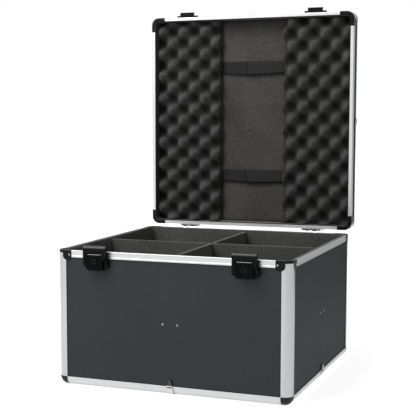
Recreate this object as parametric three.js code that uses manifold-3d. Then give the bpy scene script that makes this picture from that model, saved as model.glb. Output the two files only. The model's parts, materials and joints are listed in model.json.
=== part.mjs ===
// Stage light flight case: laminated boards held in aluminium edge rails, black moulded corners,
// a hinged lid lined with egg-crate foam, and two key-locked draw latches.
// Millimetres, +Z up, front towards -Y. The origin is the centre of the bottom board's underside.
// The lid stands open, as in the photograph.

import * as THREE from 'three';
import { mergeVertices } from 'three/addons/utils/BufferGeometryUtils.js';
import { RoundedBoxGeometry } from 'three/addons/geometries/RoundedBoxGeometry.js';
import Module from 'manifold-3d';

const wasm = await Module();
wasm.setup();

// Driving dimensions of the case
const caseWidth = 480;
const caseDepth = 485;
const baseHeight = 272.5;
const lidDepth = 52;
const lidOpenDegrees = 90;
const seamGap = 0.5;
const fitGap = 0.3;
const panelThickness = 4;

// Aluminium rails: a rounded edge rail with a board slot in each flange, and a channel on the rims
const railWall = 1.2;
const edgeRadius = 16;
const slotStart = 15;
const cornerFlange = 20;
const sideFlange = 17.5;
const rimFlange = 14;
const rimLip = 8;
const rimRound = 1;
const rimBead = 3;
const rimGroove = 0.4;

// Rail clips at the middle of each edge rail: a strap over the rail and a round stud on the board
const clipWidth = 13.4;
const clipProud = 0.8;
const clipOverlap = 0.8;
const clipBack = 0.6;
const studRadius = 5.4;
const studGap = 1.1;
const studProud = 1.4;
const studCrown = 1.6;

// Moulded corners: a cap on each rim corner and a ball on each outer corner
const capProud = 0.6;
const ballHollow = 0.9;
const capLeg = 31.5;
const capDrop = 19;
const capNeck = 13.5;
const capNeckDrop = 5;
const capLobeRadius = 8;
const capHeelRadius = 5;
const notchGap = 0.5;
const knuckleStep = 0.2;

// Linings, dividers and lid padding
const linerWall = 2.5;
const lidLinerWall = 1.2;
const linerBelowRim = 1;
const dividerThickness = 7;
const dividerBelowRim = 4.5;
const padHalfWidth = 76.5;
const padThickness = 10;
const padGap = 0.5;
const foamPeak = 37;
const foamValley = 15;
const foamPitchXLeft = 54;
const foamPitchYLeft = 52;
const foamPeakXLeft = -4;
const foamPeakYLeft = 3;
const foamPitchXRight = 51;
const foamPitchYRight = 55;
const foamPeakXRight = -4.5;
const foamPeakYRight = 6;
const strapWidth = 28;
const strapThickness = 1.5;
const strapSpacing = 250;
const strapEndGap = 1;
const strapLapStart = -17.6;
const strapLapEnd = 20;

// Hinges on the back
const hingeInset = 92.5;
const hingeWidth = 44;
const hingeSetback = 11;
const hingeDrop = 5.5;
const hingeBarrel = 3.5;
const hingePin = 1.6;
const hingePlate = 1.8;
const hingePlateStart = 6;
const hingePlateLength = 26;
const hingeKnuckles = 5;
const pinClearance = 0.1;

// Draw latches on the front: heights are from the rim, depths from the rail's outer face
const latchInset = 87.5;
const bodyHalfWidth = 26;
const bodyTop = 1.5;
const bodyDrop = 36;
const bodyPlate = 2;
const bodyChamfer = 7;
const cheekWidth = 1.9;
const cheekDepth = 8;
const cheekDrop = 31;
const cheekTop = 2.5;
const leverPivotOut = 8.3;
const leverPivotDrop = 8;
const leverKnuckle = 5.7;
const leverHalfWidth = 17.6;
const leverSkin = 2;
const leverDrop = 36;
const leverTaper = 1.2;
const leverBack = 3.2;
const leverTipChamfer = 3;
const leverCorner = 4.5;
const leverPin = 1.7;
const leverPinLength = 4;
const earGap = 0.9;
const earWidth = 3.4;
const earRadius = 3.2;
const earRootDrop = 9;
const hookHalfWidth = 23.8;
const hookLegWidth = 5.4;
const hookArm = 6.6;
const hookPin = 1.3;
const hookPinLength = 3.2;
const hookEyeRadius = 3.4;
const hookOut = 14.3;
const hookRise = 12;
const hookFoot = 1.8;
const hookWall = 2.6;
const hookRoof = 2.8;
const hookLipBack = 4.7;
const hookLipWall = 1.9;
const hookLipFoot = 5.2;
const hookBrow = 5;
const hookLegBack = 4.6;
const lockRadius = 5.2;
const lockDrop = 18.5;
const lockProud = 0.5;
const lockDepth = 5.5;
const lockNeck = 2.4;
const lockCamLength = 9.5;
const lockCamHalf = 2.4;
const lockCamBack = 4.4;
const lockCamThick = 1.8;
const keySlotHalf = 0.9;
const keySlotLength = 6;
const keySlotDepth = 1.6;
const catchHalfWidth = 5;
const catchFoot = 33;
const catchTop = 26.5;
const catchWall = 2;
const catchOut = 8.6;
const catchLip = 1.8;

// Keepers on the lid's front rail: heights are from the base's rim with the lid shut
const keeperHalfWidth = 24.5;
const keeperFoot = 1.5;
const keeperTop = 15;
const keeperPlate = 4;
const keeperHookHalf = 17;
const keeperShelf = 2.4;
const keeperOut = 11.2;
const keeperLip = 1.7;
const keeperLipTop = 7;
const keeperChamfer = 5;

// Working values
const cutOver = 1;
const weldDistance = 0.0005;
const arcSteps = 5;
const ballSteps = 4;
const roundSteps = 14;
const foamSteps = 6;

const slotWidth = panelThickness + 2 * fitGap;
const slotTop = railWall + slotWidth;
const profileDepth = slotTop + railWall;
const panelInset = railWall + fitGap;
const panelEnd = slotStart + fitGap;
const floorZ = -panelInset;
const rimZ = floorZ + baseHeight;
const lidTopZ = rimZ + seamGap + lidDepth;
const hingeY = caseDepth / 2 + hingeSetback;
const hingeZ = rimZ - hingeDrop;
const linerInset = profileDepth + fitGap;
const linerInner = linerInset + linerWall;
const dividerHalfX = caseWidth / 2 - linerInner - fitGap;
const dividerHalfY = caseDepth / 2 - linerInner - fitGap;
const padSeat = linerInset + lidLinerWall + fitGap;
const padHalfX = caseWidth / 2 - padSeat;
const padHalfY = caseDepth / 2 - padSeat;

// Finishes, as the photograph shows them
const finish = (color, roughness, metalness) => new THREE.MeshStandardMaterial({ color, roughness, metalness });
const finishes = {
  laminate: finish(0x3c3f40, 0.55, 0),
  aluminium: finish(0xc9ccce, 0.3, 0.9),
  blackPlastic: finish(0x16181a, 0.4, 0),
  blackSteel: finish(0x1c1d1f, 0.35, 0.6),
  felt: finish(0x3f3f3d, 0.95, 0),
  padCloth: finish(0x4c4d4a, 0.95, 0),
  foam: finish(0x2b2b2a, 1, 0),
  webbing: finish(0x2d3032, 0.9, 0),
  lockMetal: finish(0x55595c, 0.35, 0.8),
};

// Solids: a closed geometry becomes a manifold for joins and cuts, and comes back as a geometry
function toSolid(geometry) {
  const plain = new THREE.BufferGeometry();
  plain.setAttribute('position', geometry.getAttribute('position').clone());
  if (geometry.index) plain.setIndex(geometry.index.clone());
  const welded = mergeVertices(plain, weldDistance);
  const vertProperties = new Float32Array(welded.getAttribute('position').array);
  const triVerts = new Uint32Array(welded.index.array);
  return new wasm.Manifold(new wasm.Mesh({ numProp: 3, vertProperties, triVerts }));
}

function toGeometry(solid) {
  const { vertProperties, triVerts } = solid.getMesh();
  const geometry = new THREE.BufferGeometry();
  geometry.setAttribute('position', new THREE.BufferAttribute(new Float32Array(vertProperties), 3));
  geometry.setIndex(new THREE.BufferAttribute(new Uint32Array(triVerts), 1));
  geometry.computeVertexNormals();
  return geometry;
}

const combine = (how) => (first, ...others) =>
  toGeometry(others.reduce((solid, other) => solid[how](toSolid(other)), toSolid(first)));
const join = combine('add');
const cut = combine('subtract');
const common = combine('intersect');

// Basic forms. The span arguments are the low and high ends along each axis.
function block([xLow, xHigh], [yLow, yHigh], [zLow, zHigh]) {
  const box = new THREE.BoxGeometry(xHigh - xLow, yHigh - yLow, zHigh - zLow);
  return box.translate((xLow + xHigh) / 2, (yLow + yHigh) / 2, (zLow + zHigh) / 2);
}

const outline = (points) => new THREE.Shape(points.map(([a, b]) => new THREE.Vector2(a, b)));

function extrude(shape, length, steps = arcSteps) {
  return new THREE.ExtrudeGeometry(shape, { depth: length, bevelEnabled: false, curveSegments: steps });
}

const axisX = new THREE.Vector3(1, 0, 0);
const axisY = new THREE.Vector3(0, 1, 0);
const axisZ = new THREE.Vector3(0, 0, 1);

function extrudeX(shape, [low, high], steps) {
  const basis = new THREE.Matrix4().makeBasis(axisY, axisZ, axisX);
  return extrude(shape, high - low, steps).applyMatrix4(basis).translate(low, 0, 0);
}

function extrudeY(shape, [low, high], steps) {
  const basis = new THREE.Matrix4().makeBasis(axisX, axisZ, axisY.clone().negate());
  return extrude(shape, high - low, steps).applyMatrix4(basis).translate(0, high, 0);
}

function extrudeZ(shape, [low, high], steps) {
  return extrude(shape, high - low, steps).translate(0, 0, low);
}

// A shape drawn as (depth out of the front face, height), swept across the case's width
function extrudeAcross(shape, [low, high], steps) {
  const basis = new THREE.Matrix4().makeBasis(axisY.clone().negate(), axisZ, axisX.clone().negate());
  return extrude(shape, high - low, steps).applyMatrix4(basis).translate(high, 0, 0);
}

function disc(radius, [x, y] = [0, 0]) {
  const shape = new THREE.Shape();
  shape.absarc(x, y, radius, 0, 2 * Math.PI, false);
  return shape;
}

const mirrored = (span) => [-span[1], -span[0]];

// Places round the case: each side's own frame has +X along it and +Y inwards,
// and each corner's own frame has both axes pointing inwards along the walls.
const sides = [
  { turn: 0, run: caseWidth, x: 0, y: -caseDepth / 2, base: 'front', lid: 'back' },
  { turn: 1, run: caseDepth, x: caseWidth / 2, y: 0, base: 'right', lid: 'right' },
  { turn: 2, run: caseWidth, x: 0, y: caseDepth / 2, base: 'back', lid: 'front' },
  { turn: 3, run: caseDepth, x: -caseWidth / 2, y: 0, base: 'left', lid: 'left' },
];
const corners = [
  { turn: 0, x: -caseWidth / 2, y: -caseDepth / 2, base: 'front_left', lid: 'back_left' },
  { turn: 1, x: caseWidth / 2, y: -caseDepth / 2, base: 'front_right', lid: 'back_right' },
  { turn: 2, x: caseWidth / 2, y: caseDepth / 2, base: 'back_right', lid: 'front_right' },
  { turn: 3, x: -caseWidth / 2, y: caseDepth / 2, base: 'back_left', lid: 'front_left' },
];
const hands = [
  { name: 'left', hand: -1 },
  { name: 'right', hand: 1 },
];

const moved = (geometry, place) =>
  geometry.clone().rotateZ((place.turn * Math.PI) / 2).translate(place.x, place.y, 0);

function piece(name, geometry, material, parent, place) {
  const mesh = new THREE.Mesh(geometry, material);
  mesh.name = name;
  if (place) {
    mesh.position.set(place.x, place.y, place.z ?? 0);
    mesh.rotation.z = ((place.turn ?? 0) * Math.PI) / 2;
  }
  parent.add(mesh);
  return mesh;
}

// Rail sections, drawn from the sharp outer edge inwards
function edgeSection(flangeA, flangeB) {
  const web = slotStart - railWall;
  const innerRadius = edgeRadius - railWall;
  const touch = edgeRadius - Math.sqrt(innerRadius ** 2 - (edgeRadius - web) ** 2);
  const shape = new THREE.Shape();
  shape.moveTo(flangeA, 0);
  shape.lineTo(edgeRadius, 0);
  shape.absarc(edgeRadius, edgeRadius, edgeRadius, -Math.PI / 2, -Math.PI, true);
  shape.lineTo(0, flangeB);
  shape.lineTo(railWall, flangeB);
  shape.lineTo(railWall, slotStart);
  shape.lineTo(slotTop, slotStart);
  shape.lineTo(slotTop, flangeB);
  shape.lineTo(profileDepth, flangeB);
  shape.lineTo(profileDepth, web);
  shape.lineTo(touch, web);
  const startAngle = Math.atan2(web - edgeRadius, touch - edgeRadius);
  const endAngle = Math.atan2(touch - edgeRadius, web - edgeRadius);
  shape.absarc(edgeRadius, edgeRadius, innerRadius, startAngle, endAngle, false);
  shape.lineTo(web, profileDepth);
  shape.lineTo(flangeA, profileDepth);
  shape.lineTo(flangeA, slotTop);
  shape.lineTo(slotStart, slotTop);
  shape.lineTo(slotStart, railWall);
  shape.lineTo(flangeA, railWall);
  return shape;
}

function rimSection() {
  const grooveFoot = rimBead - rimFlange;
  const shape = new THREE.Shape();
  shape.moveTo(profileDepth, 0);
  shape.lineTo(rimRound, 0);
  shape.absarc(rimRound, -rimRound, rimRound, Math.PI / 2, Math.PI, false);
  shape.lineTo(0, -rimBead);
  shape.lineTo(rimGroove, -rimBead - rimGroove);
  shape.lineTo(rimGroove, grooveFoot + rimGroove);
  shape.lineTo(0, grooveFoot);
  shape.lineTo(0, -rimFlange);
  shape.lineTo(railWall, -rimFlange);
  shape.lineTo(railWall, -railWall);
  shape.lineTo(slotTop, -railWall);
  shape.lineTo(slotTop, -rimLip);
  shape.lineTo(profileDepth, -rimLip);
  return shape;
}

// Domed stud head, drawn on its own axis with its back at zero
function studHead(depth) {
  const shoulder = depth - studCrown;
  const crownStep = studCrown / 4;
  const profile = [
    [0, 0], [studRadius, 0], [studRadius, shoulder], [studRadius - crownStep, shoulder + studCrown / 2],
    [studRadius / 2 + crownStep, depth - crownStep], [0, depth],
  ];
  return new THREE.LatheGeometry(profile.map(([out, up]) => new THREE.Vector2(out, up)), roundSteps);
}

// The clip hugs the rounded edge, and its stud stands on the board above the rail
function clip() {
  const clipTop = sideFlange + clipOverlap;
  const studHeight = sideFlange + studGap + studRadius;
  const studBack = panelInset - fitGap;
  const shape = new THREE.Shape();
  shape.moveTo(-clipProud, edgeRadius);
  shape.lineTo(-clipProud, clipTop);
  shape.lineTo(clipBack, clipTop);
  shape.lineTo(clipBack, edgeRadius);
  shape.absarc(edgeRadius, edgeRadius, edgeRadius - clipBack, Math.PI, 1.5 * Math.PI, false);
  shape.lineTo(edgeRadius, -clipProud);
  shape.absarc(edgeRadius, edgeRadius, edgeRadius + clipProud, 1.5 * Math.PI, Math.PI, true);
  const strap = extrudeX(shape, [-clipWidth / 2, clipWidth / 2]);
  const below = block([-clipWidth, clipWidth], [-edgeRadius, 2 * edgeRadius], [-edgeRadius, 0]);
  const neck = block([-studRadius / 2, studRadius / 2], [-clipProud / 2, clipBack], [edgeRadius, studHeight]);
  const stud = studHead(studBack + studProud + studCrown).rotateX(Math.PI);
  return join(cut(strap, below), neck, stud.translate(0, studBack, studHeight));
}

function edgeRail(run) {
  return extrudeX(edgeSection(cornerFlange, sideFlange), [-run / 2, run / 2]);
}

// Rim corner cap: a shell over the rim with a lobe hanging on each wall
function capElevation(grow = 0) {
  const neck = capNeck - grow;
  const drop = capDrop + grow;
  const leg = capLeg + grow;
  const lobe = capLobeRadius + grow;
  const heel = capHeelRadius + grow;
  const shape = new THREE.Shape();
  shape.moveTo(-capProud - cutOver, cutOver);
  shape.lineTo(leg, cutOver);
  shape.lineTo(leg, heel - drop);
  shape.absarc(leg - heel, heel - drop, heel, 0, -Math.PI / 2, true);
  shape.lineTo(neck + lobe, -drop);
  shape.absarc(neck + lobe, lobe - drop, lobe, -Math.PI / 2, -Math.PI, true);
  shape.lineTo(neck, -capNeckDrop - grow);
  shape.lineTo(-capProud - cutOver, -capNeckDrop - grow);
  return shape;
}

function capEnvelope(grow) {
  const span = [-capProud - cutOver, capNeck];
  return join(extrudeY(capElevation(grow), span), extrudeX(capElevation(grow), span));
}

function capPlan() {
  const shape = new THREE.Shape();
  shape.moveTo(capLeg, -capProud);
  shape.lineTo(edgeRadius, -capProud);
  shape.absarc(edgeRadius, edgeRadius, edgeRadius + capProud, -Math.PI / 2, -Math.PI, true);
  shape.lineTo(-capProud, capLeg);
  shape.lineTo(profileDepth, capLeg);
  shape.lineTo(profileDepth, profileDepth);
  shape.lineTo(capLeg, profileDepth);
  return shape;
}

function capHollow() {
  const far = capLeg + cutOver;
  const shape = new THREE.Shape();
  shape.moveTo(far, railWall);
  shape.lineTo(edgeRadius, railWall);
  shape.absarc(edgeRadius, edgeRadius, edgeRadius - railWall, -Math.PI / 2, -Math.PI, true);
  shape.lineTo(railWall, far);
  shape.lineTo(far, far);
  return shape;
}

function rimCorner() {
  const body = common(extrudeZ(capPlan(), [-capDrop, 0]), capEnvelope());
  return cut(body, extrudeZ(capHollow(), [-capDrop - cutOver, -railWall]));
}

// Ball corner: one octant of a rounded box, hollow behind
function roundedCorner(x, y, z, radius) {
  const size = 4 * edgeRadius;
  const box = new RoundedBoxGeometry(size, size, size, ballSteps, radius);
  return box.translate(x + size / 2, y + size / 2, z + size / 2);
}

function ballCorner() {
  const across = [-capProud, cornerFlange];
  const outer = roundedCorner(-capProud, -capProud, 0, edgeRadius + capProud);
  const inner = roundedCorner(ballHollow, ballHollow, ballHollow, edgeRadius - ballHollow);
  return cut(common(outer, block(across, across, [0, sideFlange])), inner);
}

function cornerRail(height) {
  const rail = extrudeZ(edgeSection(cornerFlange, cornerFlange), [sideFlange + fitGap, height]);
  return cut(rail, capEnvelope(notchGap).translate(0, 0, height));
}

// A section swept round the case's plan with mitred corners
function mitredHoop(shape) {
  const section = shape.extractPoints(arcSteps).shape;
  if (THREE.ShapeUtils.isClockWise(section)) section.reverse();
  const points = [];
  const faces = [];
  for (const corner of corners) {
    for (const { x, y } of section) {
      points.push(corner.x - Math.sign(corner.x) * x, corner.y - Math.sign(corner.y) * x, y);
    }
  }
  const count = section.length;
  corners.forEach((corner, k) => {
    const here = k * count;
    const there = ((k + 1) % corners.length) * count;
    for (let j = 0; j < count; j += 1) {
      const next = (j + 1) % count;
      faces.push(here + j, here + next, there + next, here + j, there + next, there + j);
    }
  });
  const geometry = new THREE.BufferGeometry();
  geometry.setAttribute('position', new THREE.Float32BufferAttribute(points, 3));
  geometry.setIndex(faces);
  geometry.computeVertexNormals();
  return geometry;
}

// The rim channel's outer parts stop at the corner caps, and its lip runs on below them
function rimHoop() {
  const cell = [-cutOver, capLeg + fitGap];
  const skin = [-cutOver, 2 * railWall];
  const full = [-rimFlange - cutOver, cutOver];
  const notch = join(block(cell, skin, full), block(skin, cell, full), block(cell, cell, [-panelInset, cutOver]));
  return cut(mitredHoop(rimSection()), ...corners.map((corner) => moved(notch, corner)));
}

// The lid's edge rails and short corner posts are one frame, joined by blocks inside the ball corners
function frameKnuckle() {
  const reach = cornerFlange + fitGap + cutOver;
  const inset = panelInset;
  const core = roundedCorner(inset, inset, inset, edgeRadius - inset);
  const cell = [inset, reach];
  const solid = common(core, block(cell, cell, [inset, sideFlange + fitGap + cutOver]));
  const far = [profileDepth - knuckleStep, 2 * reach];
  const boardEdge = [slotStart - knuckleStep, 2 * reach];
  const boardSlot = [railWall - knuckleStep, slotTop + knuckleStep];
  return cut(
    solid,
    block(far, far, far),
    block(boardEdge, boardSlot, boardEdge),
    block(boardSlot, boardEdge, boardEdge),
    block(boardEdge, boardEdge, boardSlot),
  );
}

function lidEdgeFrame() {
  const runs = sides.map((side) => {
    const rail = edgeRail(side.run - 2 * (cornerFlange + fitGap));
    return moved(join(rail, clip()), side);
  });
  const post = join(cornerRail(lidDepth), frameKnuckle());
  return join(...runs, ...corners.map((corner) => moved(post, corner)));
}

// Linings and dividers
function linerTub(height, wall) {
  const halfX = caseWidth / 2 - linerInset;
  const halfY = caseDepth / 2 - linerInset;
  const top = height - linerBelowRim;
  const outer = block([-halfX, halfX], [-halfY, halfY], [linerInset, top]);
  const inX = halfX - wall;
  const inY = halfY - wall;
  return cut(outer, block([-inX, inX], [-inY, inY], [linerInset + wall, top + cutOver]));
}

function divider(halfLength, notchSpan) {
  const foot = linerInner + fitGap;
  const top = baseHeight - dividerBelowRim;
  const half = dividerThickness / 2;
  const board = block([-halfLength, halfLength], [-half, half], [foot, top]);
  const notchHalf = half + fitGap;
  return cut(board, block([-notchHalf, notchHalf], [-dividerThickness, dividerThickness], notchSpan(foot, top)));
}

const notchFromTop = (foot, top) => [(foot + top) / 2 - fitGap, top + cutOver];
const notchFromFoot = (foot, top) => [foot - cutOver, (foot + top) / 2];

// Egg-crate foam: a grid of heights over a flat back, closed at its edges and underneath
const foamGrids = {
  left: { pitchX: foamPitchXLeft, pitchY: foamPitchYLeft, peakX: foamPeakXLeft, peakY: foamPeakYLeft },
  right: { pitchX: foamPitchXRight, pitchY: foamPitchYRight, peakX: foamPeakXRight, peakY: foamPeakYRight },
};

function foamHeight(x, y, { pitchX, pitchY, peakX, peakY }) {
  const alongX = Math.cos((2 * Math.PI * (x - peakX)) / pitchX);
  const alongY = Math.cos((2 * Math.PI * (y - peakY)) / pitchY);
  return foamValley + ((foamPeak - foamValley) * (1 + alongX * alongY)) / 2;
}

function foamStrip([xLow, xHigh], [yLow, yHigh], grid) {
  const columns = Math.ceil(((xHigh - xLow) / grid.pitchX) * foamSteps);
  const rows = Math.ceil(((yHigh - yLow) / grid.pitchY) * foamSteps);
  const points = [];
  const faces = [];
  const at = (column, row) => column + row * (columns + 1);
  for (let row = 0; row <= rows; row += 1) {
    for (let column = 0; column <= columns; column += 1) {
      const x = xLow + ((xHigh - xLow) * column) / columns;
      const y = yLow + ((yHigh - yLow) * row) / rows;
      points.push(x, y, foamHeight(x, y, grid));
    }
  }
  for (let row = 0; row < rows; row += 1) {
    for (let column = 0; column < columns; column += 1) {
      const [a, b] = [at(column, row), at(column + 1, row)];
      const [c, d] = [at(column + 1, row + 1), at(column, row + 1)];
      faces.push(a, b, c, a, c, d);
    }
  }
  const rim = [];
  for (let column = 0; column < columns; column += 1) rim.push(at(column, 0));
  for (let row = 0; row < rows; row += 1) rim.push(at(columns, row));
  for (let column = columns; column > 0; column -= 1) rim.push(at(column, rows));
  for (let row = rows; row > 0; row -= 1) rim.push(at(0, row));
  const foot = points.length / 3;
  rim.forEach((index) => points.push(points[3 * index], points[3 * index + 1], 0));
  const centre = points.length / 3;
  points.push((xLow + xHigh) / 2, (yLow + yHigh) / 2, 0);
  rim.forEach((index, k) => {
    const next = (k + 1) % rim.length;
    faces.push(index, foot + k, foot + next, index, foot + next, rim[next]);
    faces.push(centre, foot + next, foot + k);
  });
  const geometry = new THREE.BufferGeometry();
  geometry.setAttribute('position', new THREE.Float32BufferAttribute(points, 3));
  geometry.setIndex(faces);
  geometry.computeVertexNormals();
  return geometry;
}

// Strap: the right-hand web laps over the left-hand one and is held by its hook face
function strap() {
  const end = padHalfWidth - strapEndGap;
  const lapped = 2 * strapThickness;
  const slope = strapLapEnd + lapped;
  const shape = outline([
    [-end, 0], [end, 0], [end, strapThickness], [slope, strapThickness],
    [strapLapEnd, lapped], [strapLapStart, lapped], [strapLapStart, strapThickness], [-end, strapThickness],
  ]);
  return extrudeY(shape, [-strapWidth / 2, strapWidth / 2]);
}

// Hinge leaves, drawn round the pin axis with the lid shut: side 1 is the lid's, side -1 the base's
function bar([ax, ay], [bx, by], thickness) {
  const length = Math.hypot(bx - ax, by - ay);
  const nx = (-(by - ay) / length) * (thickness / 2);
  const ny = ((bx - ax) / length) * (thickness / 2);
  return outline([[ax + nx, ay + ny], [bx + nx, by + ny], [bx - nx, by - ny], [ax - nx, ay - ny]]);
}

function hingeLeaf(side) {
  const isLid = side > 0;
  const back = fitGap - hingeSetback;
  const front = back + hingePlate;
  const rim = isLid ? hingeDrop + seamGap : hingeDrop;
  const start = isLid ? rim + cutOver : hingePlateStart;
  const end = start + hingePlateLength;
  const flangeEnd = isLid ? rim + rimFlange : rimFlange - rim;
  const across = [-hingeWidth / 2, hingeWidth / 2];
  const span = (low, high) => (isLid ? [low, high] : [-high, -low]);
  const plate = block(across, [back, front], span(start, end));
  const seat = block(across, [back - panelInset, front], span(flangeEnd + fitGap, end));
  const arm = bar([back + hingePlate / 2, side * (start + hingePlate)], [0, side * (hingeBarrel - hingePlate / 2)], hingePlate);
  const pitch = hingeWidth / hingeKnuckles;
  const solids = [plate, seat];
  for (let k = isLid ? 1 : 0; k < hingeKnuckles; k += 2) {
    const low = k * pitch - hingeWidth / 2 + (k > 0 ? fitGap / 2 : 0);
    const high = (k + 1) * pitch - hingeWidth / 2 - (k < hingeKnuckles - 1 ? fitGap / 2 : 0);
    solids.push(extrudeX(arm, [low, high]), extrudeX(disc(hingeBarrel), [low, high]));
  }
  const pinSpan = isLid ? [across[0] - cutOver, across[1] + cutOver] : across;
  if (isLid) return cut(join(...solids), extrudeX(disc(hingePin + pinClearance), pinSpan));
  return join(...solids, extrudeX(disc(hingePin), pinSpan));
}

// Draw latch. Its own frame is on the rim, on the rail's outer face, and depths point out of the case.
const pivot = [leverPivotOut, -leverPivotDrop];
const hookAngle = (-52.5 * Math.PI) / 180;
const hookPivot = [pivot[0] + hookArm * Math.cos(hookAngle), pivot[1] + hookArm * Math.sin(hookAngle)];
const plateFront = fitGap + bodyPlate;
const depthSpan = (low, high) => [-high, -low];

function pinAcross(radius, [out, up], span) {
  return extrudeAcross(disc(radius, [out, up]), span, roundSteps / 2);
}

const bothHands = (make, span) => [make(span), make(mirrored(span))];

function latchBody() {
  const width = [-bodyHalfWidth, bodyHalfWidth];
  const bite = bodyHalfWidth - bodyChamfer;
  const face = outline([
    [-bodyHalfWidth, -bodyTop], [-bodyHalfWidth, bodyChamfer - bodyDrop], [-bite, -bodyDrop],
    [bite, -bodyDrop], [bodyHalfWidth, bodyChamfer - bodyDrop], [bodyHalfWidth, -bodyTop],
  ]);
  const seatTop = -rimFlange - fitGap;
  const plate = cut(
    extrudeY(face, depthSpan(fitGap - panelInset, plateFront)),
    block(width, depthSpan(-panelInset, fitGap), [seatTop, cutOver]),
  );
  const cheekInner = bodyHalfWidth - cheekWidth;
  const cheek = outline([
    [fitGap, -cheekTop], [cheekDepth / 2, -cheekTop], [cheekDepth, -cheekTop - cheekDepth / 2],
    [cheekDepth, cheekDepth / 2 - cheekDrop], [cheekDepth / 2, -cheekDrop], [fitGap, -cheekDrop],
  ]);
  const shoulderTop = hookPivot[1] - hookEyeRadius - notchGap;
  const shoulder = outline([
    [fitGap, shoulderTop], [cheekDepth, shoulderTop],
    [cheekDepth, cheekDepth / 2 - cheekDrop], [cheekDepth / 2, -cheekDrop], [fitGap, -cheekDrop],
  ]);
  const earHigh = leverHalfWidth - leverSkin - earGap;
  const ear = outline([
    [fitGap, pivot[1] - earRadius / 2], [fitGap, pivot[1] - earRootDrop],
    [pivot[0], pivot[1] - earRadius], [pivot[0], pivot[1]],
  ]);
  const earSpan = [earHigh - earWidth, earHigh];
  const makeEar = (span) =>
    cut(
      join(extrudeAcross(ear, span), extrudeAcross(disc(earRadius, pivot), span)),
      pinAcross(leverPin + pinClearance, pivot, [span[0] - cutOver, span[1] + cutOver]),
    );
  const hookCatch = outline([
    [fitGap, -catchFoot], [catchOut, -catchFoot], [catchOut, -catchTop], [catchOut - catchLip, -catchTop],
    [catchOut - catchLip, catchWall - catchFoot], [fitGap, catchWall - catchFoot],
  ]);
  return join(
    plate,
    ...bothHands((span) => extrudeAcross(cheek, span), [cheekInner, bodyHalfWidth]),
    ...bothHands((span) => extrudeAcross(shoulder, span), [leverHalfWidth + notchGap, bodyHalfWidth]),
    ...bothHands(makeEar, earSpan),
    extrudeAcross(hookCatch, [-catchHalfWidth, catchHalfWidth]),
  );
}

// Wedges beyond a slanting line at the lever's two lower corners
function leverCorners(reach) {
  const wedge = (side) => outline([
    [side * (leverHalfWidth - reach - cutOver), -leverDrop - cutOver],
    [side * (leverHalfWidth + cutOver), -leverDrop - cutOver],
    [side * (leverHalfWidth + cutOver), reach + cutOver - leverDrop],
  ]);
  return [1, -1].map((side) => extrudeY(wedge(side), depthSpan(0, hookOut + cutOver)));
}

function latchLever() {
  const faceOut = pivot[0] + leverKnuckle;
  const tipOut = faceOut - leverTaper;
  const whole = new THREE.Shape();
  whole.moveTo(faceOut, pivot[1]);
  whole.absarc(pivot[0], pivot[1], leverKnuckle, 0, 1.25 * Math.PI, false);
  whole.lineTo(leverBack, pivot[1] - leverKnuckle);
  whole.lineTo(leverBack, leverTipChamfer - leverDrop);
  whole.lineTo(leverBack + leverTipChamfer, -leverDrop);
  whole.lineTo(tipOut - leverSkin / 2, -leverDrop);
  whole.lineTo(tipOut, leverSkin / 2 - leverDrop);
  const skinStart = (75 * Math.PI) / 180;
  const inner = leverKnuckle - leverSkin;
  const pocket = new THREE.Shape();
  pocket.moveTo(faceOut - leverSkin, pivot[1]);
  pocket.absarc(pivot[0], pivot[1], inner, 0, skinStart, false);
  pocket.lineTo(pivot[0] + 2 * leverKnuckle * Math.cos(skinStart), pivot[1] + 2 * leverKnuckle * Math.sin(skinStart));
  pocket.lineTo(0, pivot[1] + 2 * leverKnuckle);
  pocket.lineTo(0, leverSkin - leverDrop);
  pocket.lineTo(tipOut - leverSkin, leverSkin - leverDrop);
  const innerHalf = leverHalfWidth - leverSkin;
  const cornerWall = leverSkin * Math.SQRT2;
  const shell = cut(
    extrudeAcross(whole, [-leverHalfWidth, leverHalfWidth]),
    cut(extrudeAcross(pocket, [-innerHalf, innerHalf]), ...leverCorners(leverCorner + cornerWall)),
    ...leverCorners(leverCorner),
  );
  const bore = extrudeY(disc(lockRadius + fitGap, [0, -lockDrop]), depthSpan(leverBack, hookOut + cutOver), roundSteps / 2);
  const pivotPins = bothHands((span) => pinAcross(leverPin, pivot, span), [innerHalf - leverPinLength, innerHalf + leverSkin / 2]);
  const hookPins = bothHands(
    (span) => pinAcross(hookPin, hookPivot, span),
    [leverHalfWidth - leverSkin / 2, leverHalfWidth + hookPinLength],
  );
  return cut(join(shell, ...pivotPins, ...hookPins), bore);
}

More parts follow.
